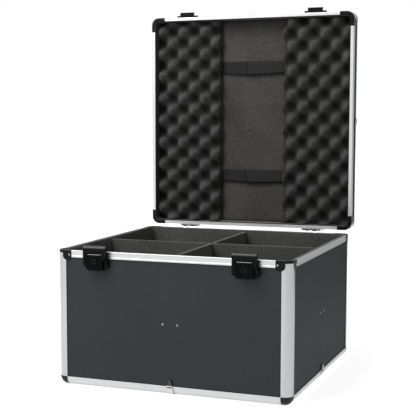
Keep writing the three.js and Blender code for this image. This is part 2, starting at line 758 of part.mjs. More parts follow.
function latchHook() {
  const cap = new THREE.Shape();
  cap.moveTo(hookOut, -hookFoot);
  cap.lineTo(hookOut, hookRise - hookBrow);
  cap.absarc(hookOut - hookBrow, hookRise - hookBrow, hookBrow, 0, Math.PI / 2, false);
  cap.lineTo(hookLipBack, hookRise);
  cap.lineTo(hookLipBack, hookLipFoot);
  cap.lineTo(hookLipBack + hookLipWall, hookLipFoot);
  cap.lineTo(hookLipBack + hookLipWall, hookRise - hookRoof);
  cap.lineTo(hookOut - hookWall, hookRise - hookRoof);
  cap.lineTo(hookOut - hookWall, -hookFoot);
  const legSpan = [hookHalfWidth - hookLegWidth, hookHalfWidth];
  const leg = outline([
    [hookOut - hookWall, hookRise - hookRoof], [hookLegBack, hookRise - hookRoof], [hookLegBack, hookPivot[1]],
    [hookPivot[0] - hookEyeRadius, hookPivot[1]], [hookPivot[0], hookPivot[1] - hookEyeRadius],
    [hookOut, hookPivot[1] - hookEyeRadius / 2], [hookOut, -hookFoot],
  ]);
  const eye = disc(hookEyeRadius, hookPivot);
  const blindHole = [legSpan[0] - cutOver, leverHalfWidth + hookPinLength + fitGap];
  const makeLeg = (span) => join(extrudeAcross(leg, span), common(extrudeAcross(eye, span), hookDepthLimit(span)));
  return cut(
    join(extrudeAcross(cap, [-hookHalfWidth, hookHalfWidth]), ...bothHands(makeLeg, legSpan)),
    ...bothHands((span) => pinAcross(hookPin + pinClearance, hookPivot, span), blindHole),
  );
}

function hookDepthLimit([low, high]) {
  return block([low - cutOver, high + cutOver], depthSpan(0, hookOut), [-leverDrop, hookRise]);
}

// Lock barrel, seen unlocked: the cam lies sideways, and a quarter turn drops it behind the catch
function latchLock() {
  const faceOut = leverPivotOut + leverKnuckle;
  const centre = [0, -lockDrop];
  const camFront = lockCamBack + lockCamThick;
  const barrelBack = faceOut - lockDepth;
  const barrel = extrudeY(disc(lockRadius, centre), depthSpan(barrelBack, faceOut + lockProud), roundSteps / 2);
  const neck = extrudeY(disc(lockNeck, centre), depthSpan(lockCamBack, barrelBack + cutOver), roundSteps / 2);
  const cam = block([-lockCamHalf, lockCamLength], depthSpan(lockCamBack, camFront), [-lockDrop - lockCamHalf, lockCamHalf - lockDrop]);
  const slot = block(
    [-keySlotHalf, keySlotHalf],
    depthSpan(faceOut + lockProud - keySlotDepth, faceOut + lockProud + cutOver),
    [-lockDrop - keySlotLength / 2, keySlotLength / 2 - lockDrop],
  );
  return cut(join(barrel, neck, cam), slot);
}

function keeper() {
  const bite = keeperHalfWidth - keeperChamfer;
  const face = outline([
    [-keeperHalfWidth, keeperFoot], [keeperHalfWidth, keeperFoot], [keeperHalfWidth, keeperTop - keeperChamfer],
    [bite, keeperTop], [-bite, keeperTop], [-keeperHalfWidth, keeperTop - keeperChamfer],
  ]);
  const shelfTop = keeperFoot + keeperShelf;
  const hook = outline([
    [fitGap, keeperFoot], [keeperOut, keeperFoot], [keeperOut, keeperLipTop],
    [keeperOut - keeperLip, keeperLipTop], [keeperOut - keeperLip, shelfTop], [fitGap, shelfTop],
  ]);
  return join(
    extrudeY(face, depthSpan(fitGap, keeperPlate)),
    extrudeAcross(hook, [-keeperHookHalf, keeperHookHalf]),
  );
}

// Assembly. A shell frame has its outer face at zero height and its rim at the shell's height.
const boardSpans = (run, height) => [
  [panelEnd - run / 2, run / 2 - panelEnd],
  [panelInset, panelInset + panelThickness],
  [panelEnd, height - panelInset],
];

function addShell(part, height, lining, group) {
  for (const side of sides) {
    piece(`${part}_${side[part]}_panel`, block(...boardSpans(side.run, height)), finishes.laminate, group, side);
  }
  const [halfX, halfY] = [caseWidth / 2 - panelEnd, caseDepth / 2 - panelEnd];
  const floorName = part === 'base' ? 'base_bottom_panel' : 'lid_top_panel';
  const floor = block([-halfX, halfX], [-halfY, halfY], [panelInset, panelInset + panelThickness]);
  piece(floorName, floor, finishes.laminate, group);
  piece(`${part}_rim_frame`, rimHoop(), finishes.aluminium, group, { x: 0, y: 0, z: height });
  for (const corner of corners) {
    const name = corner[part];
    piece(`${part}_${name}_rim_corner`, rimCorner(), finishes.blackPlastic, group, { ...corner, z: height });
    piece(`${part}_${name}_ball_corner`, ballCorner(), finishes.blackPlastic, group, corner);
  }
  piece(`${part}_liner`, linerTub(height, lining), finishes.felt, group);
}

function addBase(group) {
  addShell('base', baseHeight, linerWall, group);
  for (const side of sides) {
    const rail = join(edgeRail(side.run - 2 * (cornerFlange + fitGap)), clip());
    piece(`base_${side.base}_bottom_rail`, rail, finishes.aluminium, group, side);
  }
  for (const corner of corners) {
    piece(`base_${corner.base}_corner_rail`, cornerRail(baseHeight), finishes.aluminium, group, corner);
  }
  const acrossBoard = divider(dividerHalfX, notchFromTop);
  const alongBoard = divider(dividerHalfY, notchFromFoot);
  piece('divider_left_right', acrossBoard, finishes.felt, group);
  piece('divider_front_back', alongBoard, finishes.felt, group, { x: 0, y: 0, turn: 1 });
}

function addLid(shell) {
  addShell('lid', lidDepth, lidLinerWall, shell);
  piece('lid_edge_frame', lidEdgeFrame(), finishes.aluminium, shell);
  const pad = block([-padHalfWidth, padHalfWidth], [-padHalfY, padHalfY], [0, padThickness]);
  piece('lid_centre_pad', pad, finishes.padCloth, shell, { x: 0, y: 0, z: padSeat });
  const foamInner = padHalfWidth + padGap;
  for (const { name, hand } of hands) {
    const span = hand > 0 ? [foamInner, padHalfX] : [-padHalfX, -foamInner];
    const strip = foamStrip(span, [-padHalfY, padHalfY], foamGrids[name]);
    piece(`lid_${name}_foam_strip`, strip, finishes.foam, shell, { x: 0, y: 0, z: padSeat });
  }
  const strapZ = padSeat + padThickness + fitGap;
  piece('lid_front_strap', strap(), finishes.webbing, shell, { x: 0, y: strapSpacing / 2, z: strapZ });
  piece('lid_back_strap', strap(), finishes.webbing, shell, { x: 0, y: -strapSpacing / 2, z: strapZ });
}

function addHinges(baseParent, lidParent) {
  for (const { name, hand } of hands) {
    const place = { x: hand * (caseWidth / 2 - hingeInset), y: hingeY, z: hingeZ };
    piece(`hinge_${name}_base_leaf`, hingeLeaf(-1), finishes.blackSteel, baseParent, place);
    piece(`hinge_${name}_lid_leaf`, hingeLeaf(1), finishes.blackSteel, lidParent, place);
  }
}

function addLatches(baseParent, lidParent) {
  for (const { name, hand } of hands) {
    const place = { x: hand * (caseWidth / 2 - latchInset), y: -caseDepth / 2, z: rimZ };
    piece(`latch_${name}_body`, latchBody(), finishes.blackPlastic, baseParent, place);
    piece(`latch_${name}_lever`, latchLever(), finishes.blackPlastic, baseParent, place);
    piece(`latch_${name}_hook`, latchHook(), finishes.blackPlastic, baseParent, place);
    piece(`latch_${name}_lock`, latchLock(), finishes.lockMetal, baseParent, place);
    piece(`latch_${name}_keeper`, keeper(), finishes.blackPlastic, lidParent, place);
  }
}

const group = new THREE.Group();
const baseShell = new THREE.Group();
baseShell.position.z = floorZ;
group.add(baseShell);

// The lid turns about the hinge axis; its shell is built rim up and turned over
const lidPivot = new THREE.Group();
lidPivot.position.set(0, hingeY, hingeZ);
lidPivot.rotation.x = (-lidOpenDegrees * Math.PI) / 180;
const lidShut = new THREE.Group();
lidShut.position.set(0, -hingeY, -hingeZ);
const lidShell = new THREE.Group();
lidShell.position.z = lidTopZ;
lidShell.rotation.x = Math.PI;
group.add(lidPivot);
lidPivot.add(lidShut);
lidShut.add(lidShell);

addBase(baseShell);
addLid(lidShell);
addHinges(group, lidShut);
addLatches(group, lidShut);

export default group;
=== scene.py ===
import json
import math

import bmesh
import bpy
import numpy as np
from mathutils import Matrix, Vector, noise

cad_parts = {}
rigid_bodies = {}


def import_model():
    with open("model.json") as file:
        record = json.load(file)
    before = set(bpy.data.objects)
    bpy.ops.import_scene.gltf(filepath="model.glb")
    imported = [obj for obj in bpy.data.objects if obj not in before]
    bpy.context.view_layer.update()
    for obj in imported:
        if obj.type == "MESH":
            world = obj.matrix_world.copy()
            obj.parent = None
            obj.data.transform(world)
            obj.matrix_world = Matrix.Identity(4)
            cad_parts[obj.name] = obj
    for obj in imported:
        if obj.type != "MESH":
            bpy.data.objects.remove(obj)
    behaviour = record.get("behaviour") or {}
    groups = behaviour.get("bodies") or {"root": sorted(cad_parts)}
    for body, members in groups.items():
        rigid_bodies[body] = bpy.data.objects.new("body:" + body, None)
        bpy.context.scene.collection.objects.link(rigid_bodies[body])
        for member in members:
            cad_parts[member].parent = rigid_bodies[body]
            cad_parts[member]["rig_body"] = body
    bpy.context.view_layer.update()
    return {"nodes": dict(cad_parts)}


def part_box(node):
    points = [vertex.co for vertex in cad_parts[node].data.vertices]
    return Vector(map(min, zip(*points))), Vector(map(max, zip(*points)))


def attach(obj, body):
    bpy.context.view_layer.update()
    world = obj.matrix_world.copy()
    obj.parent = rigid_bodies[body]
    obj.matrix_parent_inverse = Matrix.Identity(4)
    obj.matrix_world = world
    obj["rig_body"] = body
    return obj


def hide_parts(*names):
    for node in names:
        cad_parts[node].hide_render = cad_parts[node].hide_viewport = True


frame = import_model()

mm = 0.001
nodes = frame["nodes"]
print("case frame loaded:", len(nodes), "nodes")

# The open lid's outer face and the height of its middle. In its own frame, x runs across,
# y goes up from its middle and z goes in from its outer face
lidFaceY, lidMiddleZ = 311.5 * mm, 519 * mm
lidFrame = Matrix.Translation((0, lidFaceY, lidMiddleZ)) @ Matrix.Rotation(math.pi / 2, 4, "X")
# The undersides of the base's rails, which the case stands on
footZ = -1.5 * mm
handSigns = {"left": -1, "right": 1}


# Shader building

def newMaterial(name):
    material = bpy.data.materials.new(name)
    material.use_nodes = True
    tree = material.node_tree
    shader = tree.nodes["Principled BSDF"]
    return material, tree, shader


def addNode(tree, kind, values=None, **links):
    node = tree.nodes.new(kind)
    for key, value in (values or {}).items():
        if key in node.inputs:
            node.inputs[key].default_value = value
        else:
            setattr(node, key, value)
    for key, source in links.items():
        tree.links.new(source, node.inputs[key.replace("_", " ")])
    return node


def placeCoords(tree, scale=(1, 1, 1), turn=(0, 0, 0)):
    coords = addNode(tree, "ShaderNodeTexCoord")
    mapping = addNode(tree, "ShaderNodeMapping", {"Scale": scale, "Rotation": turn})
    tree.links.new(coords.outputs["Object"], mapping.inputs["Vector"])
    return mapping.outputs["Vector"]


def noiseField(tree, scale, detail=2.0, rough=0.5, stretch=(1, 1, 1), turn=(0, 0, 0)):
    field = addNode(tree, "ShaderNodeTexNoise", {"Scale": scale, "Detail": detail, "Roughness": rough})
    tree.links.new(placeCoords(tree, stretch, turn), field.inputs["Vector"])
    return field.outputs["Fac"]


def cellField(tree, scale):
    field = addNode(tree, "ShaderNodeTexVoronoi", {"Scale": scale})
    tree.links.new(placeCoords(tree), field.inputs["Vector"])
    return field.outputs["Distance"]


def grey(level):
    return (level, level, level, 1)


def remap(tree, value, low, high, outLow, outHigh):
    node = addNode(tree, "ShaderNodeMapRange", {
        "From Min": low, "From Max": high, "To Min": outLow, "To Max": outHigh})
    tree.links.new(value, node.inputs["Value"])
    return node.outputs["Result"]


def weigh(tree, first, second, share):
    mix = addNode(tree, "ShaderNodeMix", {"data_type": "FLOAT", "Factor": share})
    tree.links.new(first, mix.inputs[2])
    tree.links.new(second, mix.inputs[3])
    return mix.outputs[0]


def blendColours(tree, fac, first, second):
    mix = addNode(tree, "ShaderNodeMix", {"data_type": "RGBA"})
    tree.links.new(fac, mix.inputs[0])
    for socket, colour in ((mix.inputs[6], first), (mix.inputs[7], second)):
        if isinstance(colour, (tuple, list)):
            socket.default_value = (*colour[:3], 1)
        else:
            tree.links.new(colour, socket)
    return mix.outputs[2]


def addBump(tree, shader, height, strength, distance):
    bump = addNode(tree, "ShaderNodeBump", {"Strength": strength, "Distance": distance}, Height=height)
    if shader.inputs["Normal"].is_linked:
        tree.links.new(shader.inputs["Normal"].links[0].from_socket, bump.inputs["Normal"])
    tree.links.new(bump.outputs["Normal"], shader.inputs["Normal"])


def setShader(shader, **values):
    for key, value in values.items():
        shader.inputs[key.replace("_", " ")].default_value = value


def srgb(r, g, b):
    return tuple(((c / 255 + 0.055) / 1.055) ** 2.4 if c > 10 else c / 255 / 12.92 for c in (r, g, b))


# Dark laminate: a fine pebbled print with faint slanting streaks, a little wear in its gloss,
# and painted shade along the rails, where ambient occlusion darkens its colour
laminate = {"dark": srgb(38, 41, 43), "light": srgb(54, 57, 59), "sideShadedDark": srgb(34, 38, 41),
            "sideShadedLight": srgb(50, 55, 59), "seamShade": srgb(9, 10, 11), "shadeReach": 3.5 * mm,
            "streaksPerMetre": 420, "cloudsPerMetre": 8, "grainPerMetre": 1100, "grainDepth": 0.06 * mm,
            "roughLow": 0.5, "roughHigh": 0.64}


def makeLaminate(name, slant, specular, dark, light):
    material, tree, shader = newMaterial(name)
    streaks = noiseField(tree, laminate["streaksPerMetre"], 3, 0.6, (1, 1, 0.3), slant)
    clouds = noiseField(tree, laminate["cloudsPerMetre"], 3, 0.5)
    tone = weigh(tree, streaks, clouds, 0.3)
    pattern = blendColours(tree, remap(tree, tone, 0.25, 0.75, 0, 1), dark, light)
    tree.links.new(remap(tree, streaks, 0.3, 0.7, laminate["roughLow"], laminate["roughHigh"]),
                   shader.inputs["Roughness"])
    setShader(shader, Specular_IOR_Level=specular)
    # Painted shade: the colour darkens by ambient occlusion near the rails
    shade = addNode(tree, "ShaderNodeAmbientOcclusion", {"Distance": laminate["shadeReach"], "samples": 8},
                    Color=pattern)
    seamShade = remap(tree, shade.outputs["AO"], 0.55, 0.95, 0, 1)
    tree.links.new(blendColours(tree, seamShade, laminate["seamShade"], pattern), shader.inputs["Base Color"])
    grain = cellField(tree, laminate["grainPerMetre"])
    addBump(tree, shader, weigh(tree, grain, streaks, 0.35), 0.5, laminate["grainDepth"])
    return material


# Satin anodised extrusion: hairline die marks run along each rail
anodised = {"base": (0.60, 0.61, 0.62), "darkShare": 0.86, "linesPerMetre": 1500, "bandsPerMetre": 260,
            "patchesPerMetre": 22, "alongShare": 0.006, "roughLow": 0.27, "roughHigh": 0.42,
            "metallic": 0.92, "lineDepth": 0.03 * mm}


def makeAnodised(name, along, tone=1.0):
    material, tree, shader = newMaterial(name)
    stretch = [1.0, 1.0, 1.0]
    stretch["xyz".index(along)] = anodised["alongShare"]
    lines = noiseField(tree, anodised["linesPerMetre"], 2, 0.6, tuple(stretch))
    bands = noiseField(tree, anodised["bandsPerMetre"], 1, 0.5, tuple(stretch))
    patches = noiseField(tree, anodised["patchesPerMetre"], 3, 0.5)
    marks = weigh(tree, lines, bands, 0.5)
    # A tone below one gives a darker copy for painted shade, above one a lighter copy for painted light
    base = tuple(c * tone for c in anodised["base"])
    darker = tuple(c * anodised["darkShare"] for c in base)
    fac = remap(tree, marks, 0.3, 0.7, 0, 1)
    tree.links.new(blendColours(tree, fac, darker, base), shader.inputs["Base Color"])
    wear = weigh(tree, lines, patches, 0.5)
    tree.links.new(remap(tree, wear, 0.3, 0.7, anodised["roughLow"], anodised["roughHigh"]),
                   shader.inputs["Roughness"])
    setShader(shader, Metallic=anodised["metallic"], Specular_IOR_Level=0.5)
    addBump(tree, shader, lines, 0.25, anodised["lineDepth"])
    return material


# Black moulded plastic: faint orange peel, a soft gloss, and paler rubbed patches
moulded = {"dark": srgb(9, 10, 11), "rubbed": srgb(19, 21, 23), "roughLow": 0.28, "roughHigh": 0.4,
           "patchesPerMetre": 60, "peelPerMetre": 900, "peelDepth": 0.04 * mm}


def makeMoulded(name, dark, rubbed, roughLow, roughHigh, specular=0.5, peelStrength=0.3):
    material, tree, shader = newMaterial(name)
    patches = noiseField(tree, moulded["patchesPerMetre"], 4, 0.6)
    peel = noiseField(tree, moulded["peelPerMetre"], 2, 0.5)
    fac = remap(tree, patches, 0.5, 0.75, 0, 1)
    tree.links.new(blendColours(tree, fac, dark, rubbed), shader.inputs["Base Color"])
    tree.links.new(remap(tree, patches, 0.3, 0.7, roughLow, roughHigh), shader.inputs["Roughness"])
    setShader(shader, Specular_IOR_Level=specular)
    addBump(tree, shader, peel, peelStrength, moulded["peelDepth"])
    return material


# Short felt and velour: matted fibres, cloudy pile and a soft sheen
feltLook = {"brushedShare": 0.55, "cloudsPerMetre": 9, "pileDepth": 0.4 * mm}


def makeFelt(name, dark, light, pilePerMetre, sheen):
    material, tree, shader = newMaterial(name)
    fibres = noiseField(tree, pilePerMetre, 4, 0.75)
    brushed = noiseField(tree, pilePerMetre * feltLook["brushedShare"], 3, 0.6, (1, 1, 0.85))
    clouds = noiseField(tree, feltLook["cloudsPerMetre"], 3, 0.6)
    pile = weigh(tree, fibres, brushed, 0.6)
    tone = weigh(tree, pile, clouds, 0.25)
    fac = remap(tree, tone, 0.38, 0.62, 0, 1)
    tree.links.new(blendColours(tree, fac, dark, light), shader.inputs["Base Color"])
    setShader(shader, Roughness=0.95, Specular_IOR_Level=0.15, Sheen_Weight=sheen, Sheen_Roughness=0.5)
    addBump(tree, shader, pile, 0.6, feltLook["pileDepth"])
    return material


# Open-cell foam: tiny dark pores between paler cell walls, with painted shade darkening it towards the pits
foamFinish = {"pore": srgb(22, 22, 21), "wall": srgb(77, 77, 73), "pitShade": srgb(9, 9, 9), "poresPerMetre": 400,
              "specksPerMetre": 560, "cloudsPerMetre": 30, "poreDepth": 0.8 * mm,
              "pitY": 282.8 * mm, "peakY": 271.5 * mm}


def makeFoam(name):
    material, tree, shader = newMaterial(name)
    spot = addNode(tree, "ShaderNodeSeparateXYZ")
    tree.links.new(placeCoords(tree), spot.inputs["Vector"])
    # Painted shade: the colour darkens with depth towards the pits
    height = remap(tree, spot.outputs["Y"], foamFinish["pitY"], foamFinish["peakY"], 0, 1)
    pores = cellField(tree, foamFinish["poresPerMetre"])
    specks = noiseField(tree, foamFinish["specksPerMetre"], 3, 0.7)
    clouds = noiseField(tree, foamFinish["cloudsPerMetre"], 3, 0.6)
    tone = weigh(tree, weigh(tree, pores, specks, 0.55), clouds, 0.25)
    fac = remap(tree, tone, 0.3, 0.62, 0, 1)
    skin = blendColours(tree, fac, foamFinish["pore"], foamFinish["wall"])
    tree.links.new(blendColours(tree, height, foamFinish["pitShade"], skin), shader.inputs["Base Color"])
    setShader(shader, Roughness=1.0, Specular_IOR_Level=0.1, Sheen_Weight=0.15, Sheen_Roughness=0.6)
    addBump(tree, shader, weigh(tree, pores, specks, 0.5), 0.8, foamFinish["poreDepth"])
    return material


# Webbing: ribs along its length crossed by fine picks, and a shadow beside the edge of the lap
webFinish = {"dark": srgb(14, 15, 15), "light": srgb(52, 53, 52), "shadow": srgb(5, 5, 5),
             "ribScale": 66.6667, "pickScale": 95.2381, "fluffPerMetre": 520, "clothDepth": 0.3 * mm,
             "shadowStart": 5.5 * mm, "shadowEnd": 1 * mm}


def makeWebbing(name, fuzz, lapEdge=None):
    material, tree, shader = newMaterial(name)
    coords = placeCoords(tree)
    ribs, picks = [addNode(tree, "ShaderNodeTexWave", {"bands_direction": way, "Scale": webFinish[scale],
                                                       "Distortion": fuzz}, Vector=coords)
                   for way, scale in (("Z", "ribScale"), ("X", "pickScale"))]
    fluff = noiseField(tree, webFinish["fluffPerMetre"], 3, 0.7)
    weave = weigh(tree, ribs.outputs["Fac"], picks.outputs["Fac"], 0.4)
    tone = weigh(tree, weave, fluff, 0.45)
    cloth = blendColours(tree, tone, webFinish["dark"], webFinish["light"])
    if lapEdge:
        spot = addNode(tree, "ShaderNodeSeparateXYZ", Vector=coords)
        near = remap(tree, spot.outputs["X"], lapEdge - webFinish["shadowStart"],
                     lapEdge - webFinish["shadowEnd"], 0.18, 0.97)
        cloth = blendColours(tree, near, cloth, webFinish["shadow"])
    tree.links.new(cloth, shader.inputs["Base Color"])
    setShader(shader, Roughness=0.85, Specular_IOR_Level=0.15, Sheen_Weight=0.1)
    addBump(tree, shader, tone, 0.6, webFinish["clothDepth"])
    return material


# Plated and painted steel: fine scratches over a mottled finish
steelLook = {"scratchesPerMetre": 700, "patchesPerMetre": 130, "scratchDepth": 0.03 * mm}


def makeSteel(name, dark, light, metallic, roughLow, roughHigh):
    material, tree, shader = newMaterial(name)
    scratches = noiseField(tree, steelLook["scratchesPerMetre"], 3, 0.6, (1, 0.05, 1))
    patches = noiseField(tree, steelLook["patchesPerMetre"], 3, 0.6)
    fac = remap(tree, weigh(tree, scratches, patches, 0.5), 0.3, 0.7, 0, 1)
    tree.links.new(blendColours(tree, fac, dark, light), shader.inputs["Base Color"])
    tree.links.new(remap(tree, patches, 0.3, 0.7, roughLow, roughHigh), shader.inputs["Roughness"])
    setShader(shader, Metallic=metallic)
    addBump(tree, shader, scratches, 0.2, steelLook["scratchDepth"])
    return material


# The left-hand edge of the upper band of each strap, where the under band shows beside it
strapLapStart = -12.4 * mm
slantFront = (0, math.radians(45), 0)
slantSide = (math.radians(45), 0, 0)
finishes = {
    "laminateFront": makeLaminate("laminateFront", slantFront, 0.18, laminate["dark"], laminate["light"]),
    # The side boards take a darker copy of the same laminate, painted shade
    "laminateSideShaded": makeLaminate("laminateSideShaded", slantSide, 0.09, laminate["sideShadedDark"],
                                 laminate["sideShadedLight"]),
    "railX": makeAnodised("anodisedAlongX", "x"),
    "railY": makeAnodised("anodisedAlongY", "y"),
    "railZ": makeAnodised("anodisedAlongZ", "z"),
    # The rim, post and foot copies are darker copies of the same aluminium, painted shade
    "rimXShaded": makeAnodised("anodisedRimXShaded", "x", 0.88),
    # A lighter copy of the aluminium, painted light, for the lid's rim along the hinges
    "hingeRailLit": makeAnodised("anodisedHingeRailLit", "x", 1.35),
    "post": makeAnodised("anodisedPostShaded", "z", 0.74),
    "footX": makeAnodised("anodisedFootXShaded", "x", 0.84),
    "footY": makeAnodised("anodisedFootYShaded", "y", 0.94),
    "moulding": makeMoulded("blackMoulding", moulded["dark"], moulded["rubbed"], moulded["roughLow"],
                            moulded["roughHigh"], 0.22),
    # This black also paints the shadow line under each strap
    "leverMouldingAndStrapShadow": makeMoulded("leverMouldingAndStrapShadow", srgb(4, 5, 5), srgb(9, 10, 10), 0.3, 0.4, 0.04),
    "bodyMoulding": makeMoulded("bodyMoulding", srgb(6, 7, 7), srgb(12, 13, 13), 0.3, 0.4, 0.08),
    "capMoulding": makeMoulded("capMoulding", srgb(7, 8, 9), srgb(12, 13, 14), 0.38, 0.42, 0.45, 0.06),
    "rimMoulding": makeMoulded("rimMoulding", srgb(8, 9, 10), srgb(18, 20, 21), 0.26, 0.38, 0.12),
    # A lighter copy of the cap plastic for the tops of the base's rim caps, painted light from above
    "rimTopLit": makeMoulded("rimTopLitMoulding", srgb(76, 79, 83), srgb(96, 99, 103), 0.42, 0.55, 0.35),
    "felt": makeFelt("charcoalFelt", srgb(48, 48, 45), srgb(88, 88, 83), 700, 0.3),
    "velour": makeFelt("greyVelour", srgb(46, 45, 43), srgb(86, 84, 81), 600, 0.3),
    "lidFelt": makeFelt("lidFelt", srgb(26, 26, 25), srgb(42, 42, 40), 1500, 0.2),
    "foam": makeFoam("blackFoam"),
    "webbing": makeWebbing("strapWebbing", 0.6),
    "hookTape": makeWebbing("hookTape", 3.0, strapLapStart),
    "blackSteel": makeSteel("blackSteel", srgb(16, 17, 18), srgb(40, 42, 44), 0.6, 0.28, 0.42),
    # This black also paints the shade in the hinge slits
    "lockCoreAndSlitShade": makeMoulded("lockCoreAndSlitShade", srgb(4, 4, 5), srgb(9, 10, 10), 0.3, 0.4, 0.06),
    "clipShadow": makeMoulded("clipShadow", srgb(24, 16, 15), srgb(38, 29, 27), 0.5, 0.6, 0.05),
    "lockMetal": makeSteel("platedLock", srgb(30, 32, 34), srgb(52, 55, 58), 1.0, 0.18, 0.3),
    "hingeSteel": makeSteel("hingeSteel", srgb(205, 207, 209), srgb(230, 231, 232), 0.9, 0.3, 0.42),
    # Grey steel for the divider screws, and a painted highlight on the lever ledges
    "screwGreyAndLedgeHighlight": makeSteel("screwGreyAndLedgeHighlight", srgb(112, 115, 118), srgb(150, 153, 156), 0.7, 0.3, 0.45),
    "clipSteel": makeSteel("clipSteel", srgb(184, 180, 176), srgb(208, 204, 200), 0.8, 0.4, 0.55),
    # A darker copy of the stud steel, painted shade, for most of the studs
    "studSteelShaded": makeSteel("studSteelShaded", srgb(38, 40, 42), srgb(78, 80, 82), 1.0, 0.14, 0.26),
    # Steel for the rivets, also the lighter copy of the stud steel on the side studs, painted light
    "screwSteelAndLitStuds": makeSteel("screwSteelAndLitStuds", srgb(120, 122, 124), srgb(190, 192, 194), 1.0, 0.18, 0.3),
}
print("finishes made:", len(finishes))


# Mesh helpers

def addObject(name, mesh, material, body):
    piece = bpy.data.objects.new(name, mesh)
    bpy.context.scene.collection.objects.link(piece)
    for item in material if isinstance(material, (list, tuple)) else [material]:
        mesh.materials.append(item)
    mesh.polygons.foreach_set("use_smooth", [True] * len(mesh.polygons))
    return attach(piece, body)


def meshFrom(points, faces, name):
    mesh = bpy.data.meshes.new(name)
    mesh.from_pydata([tuple(p) for p in points], [], faces)
    mesh.validate()
    mesh.update()
    return mesh


def applyModifiers(piece):
    graph = bpy.context.evaluated_depsgraph_get()
    finished = bpy.data.meshes.new_from_object(piece.evaluated_get(graph))
    piece.modifiers.clear()
    piece.data = finished
    return piece


def bodyOf(node):
    return nodes[node]["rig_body"]


# A hard piece takes its CAD node's shape, with its edges eased so that they catch the light
easing = {"weld": 0.002 * mm, "flatAngle": 0.6, "evenWeight": 80}


def easedCopy(node, newName, material, edge, segments=2, angle=30):
    mesh = nodes[node].data.copy()
    mesh.name = newName
    mesh.materials.clear()
    shape = bmesh.new()
    shape.from_mesh(mesh)
    bmesh.ops.remove_doubles(shape, verts=shape.verts, dist=easing["weld"])
    bmesh.ops.dissolve_limit(shape, angle_limit=math.radians(easing["flatAngle"]), verts=shape.verts,
                             edges=shape.edges)
    shape.to_mesh(mesh)
    shape.free()
    piece = addObject(newName, mesh, material, bodyOf(node))
    ease = piece.modifiers.new("easedEdges", "BEVEL")
    ease.width = edge
    ease.segments = segments
    ease.limit_method = "ANGLE"
    ease.angle_limit = math.radians(angle)
    ease.use_clamp_overlap = True
    ease.harden_normals = True
    ease.miter_outer = "MITER_ARC"
    even = piece.modifiers.new("evenShading", "WEIGHTED_NORMAL")
    even.weight = easing["evenWeight"]
    applyModifiers(piece)
    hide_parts(node)
    return piece


def paintFaces(piece, choose):
    mesh = piece.data
    for face in mesh.polygons:
        face.material_index = choose(face.center, face.normal)
    mesh.update()


def domeMesh(name, radius, height, rings=5, around=20, skirt=0.0):
    points, faces = [(0, 0, height)], []
    for ring in range(1, rings + 1):
        angle = math.pi / 2 * ring / rings
        for k in range(around):
            turn = 2 * math.pi * k / around
            reach = radius * math.sin(angle)
            points.append((reach * math.cos(turn), reach * math.sin(turn), height * math.cos(angle)))
    for k in range(around):
        turn = 2 * math.pi * k / around
        points.append((radius * math.cos(turn), radius * math.sin(turn), -skirt))
    for k in range(around):
        nxt = (k + 1) % around
        faces.append((0, 1 + k, 1 + nxt))
        for ring in range(rings):
            a, b = 1 + ring * around + k, 1 + ring * around + nxt
            faces.append((a, a + around, b + around, b))
    faces.append(tuple(range(len(points) - 1, len(points) - 1 - around, -1)))
    return meshFrom(points, faces, name)


def placeAt(mesh, position, direction):
    turn = Vector((0, 0, 1)).rotation_difference(Vector(direction)).to_matrix().to_4x4()
    mesh.transform(Matrix.Translation(position) @ turn)
    return mesh


def mergeMeshes(name, meshes):
    shape = bmesh.new()
    for mesh in meshes:
        shape.from_mesh(mesh)
    merged = bpy.data.meshes.new(name)
    shape.to_mesh(merged)
    shape.free()
    for mesh in meshes:
        bpy.data.meshes.remove(mesh)
    return merged


def tubeAlong(name, path, radius, around=10, closed=False):
    points, faces = [], []
    count = len(path)
    for k, centre in enumerate(path):
        ahead = path[(k + 1) % count] if closed or k < count - 1 else centre
        behind = path[k - 1] if closed or k else centre
        way = (ahead - behind).normalized()
        out = Vector((0, -1, 0)) if abs(way.x) > 0.5 else Vector((1, 0, 0))
        side = way.cross(out).normalized()
        for j in range(around):
            angle = 2 * math.pi * j / around
            points.append(centre + (out * math.cos(angle) + side * math.sin(angle)) * radius)
    for k in range(count if closed else count - 1):
        nextRing = ((k + 1) % count) * around
        for j in range(around):
            nxt = (j + 1) % around
            faces.append((k * around + j, nextRing + j, nextRing + nxt, k * around + nxt))
    if not closed:
        faces.append(tuple(range(around)))
        faces.append(tuple(reversed(range((count - 1) * around, count * around))))
    return meshFrom(points, faces, name)


# Boards

def boardIsAcross(node):
    return "left" not in node and "right" not in node


for node in sorted(nodes):
    if node.endswith("_panel"):
        finish = finishes["laminateFront" if boardIsAcross(node) else "laminateSideShaded"]
        nodes[node].data.materials.clear()
        nodes[node].data.materials.append(finish)
print("boards finished")


# Aluminium rails

railLook = {"easedEdge": 0.35 * mm, "studStart": 18.4 * mm, "studReach": 6 * mm, "clipReach": 6.9 * mm,
            "skin": 0.4 * mm, "rounding": 16 * mm, "hingeRunTop": 290 * mm}
halfWidth, halfDepth = 240 * mm, 242.5 * mm


# Where a face lies on its own half of the case: from the middle to the back, and in from the outer face
def shellPlace(centre, isLid):
    if isLid:
        return centre.z - lidMiddleZ, lidFaceY - centre.y
    return centre.y, centre.z - footZ


def runOf(centre, isLid):
    along = shellPlace(centre, isLid)[0]
    return 0 if halfWidth - abs(centre.x) > halfDepth - abs(along) else 1


# The studs at the middle of each edge rail have a steel of their own: a darker copy, painted shade,
# and on the base's side rails a lighter copy, painted light
def isStud(centre, isLid):
    along, height = shellPlace(centre, isLid)
    return height > railLook["studStart"] and min(abs(centre.x), abs(along)) < railLook["studReach"]


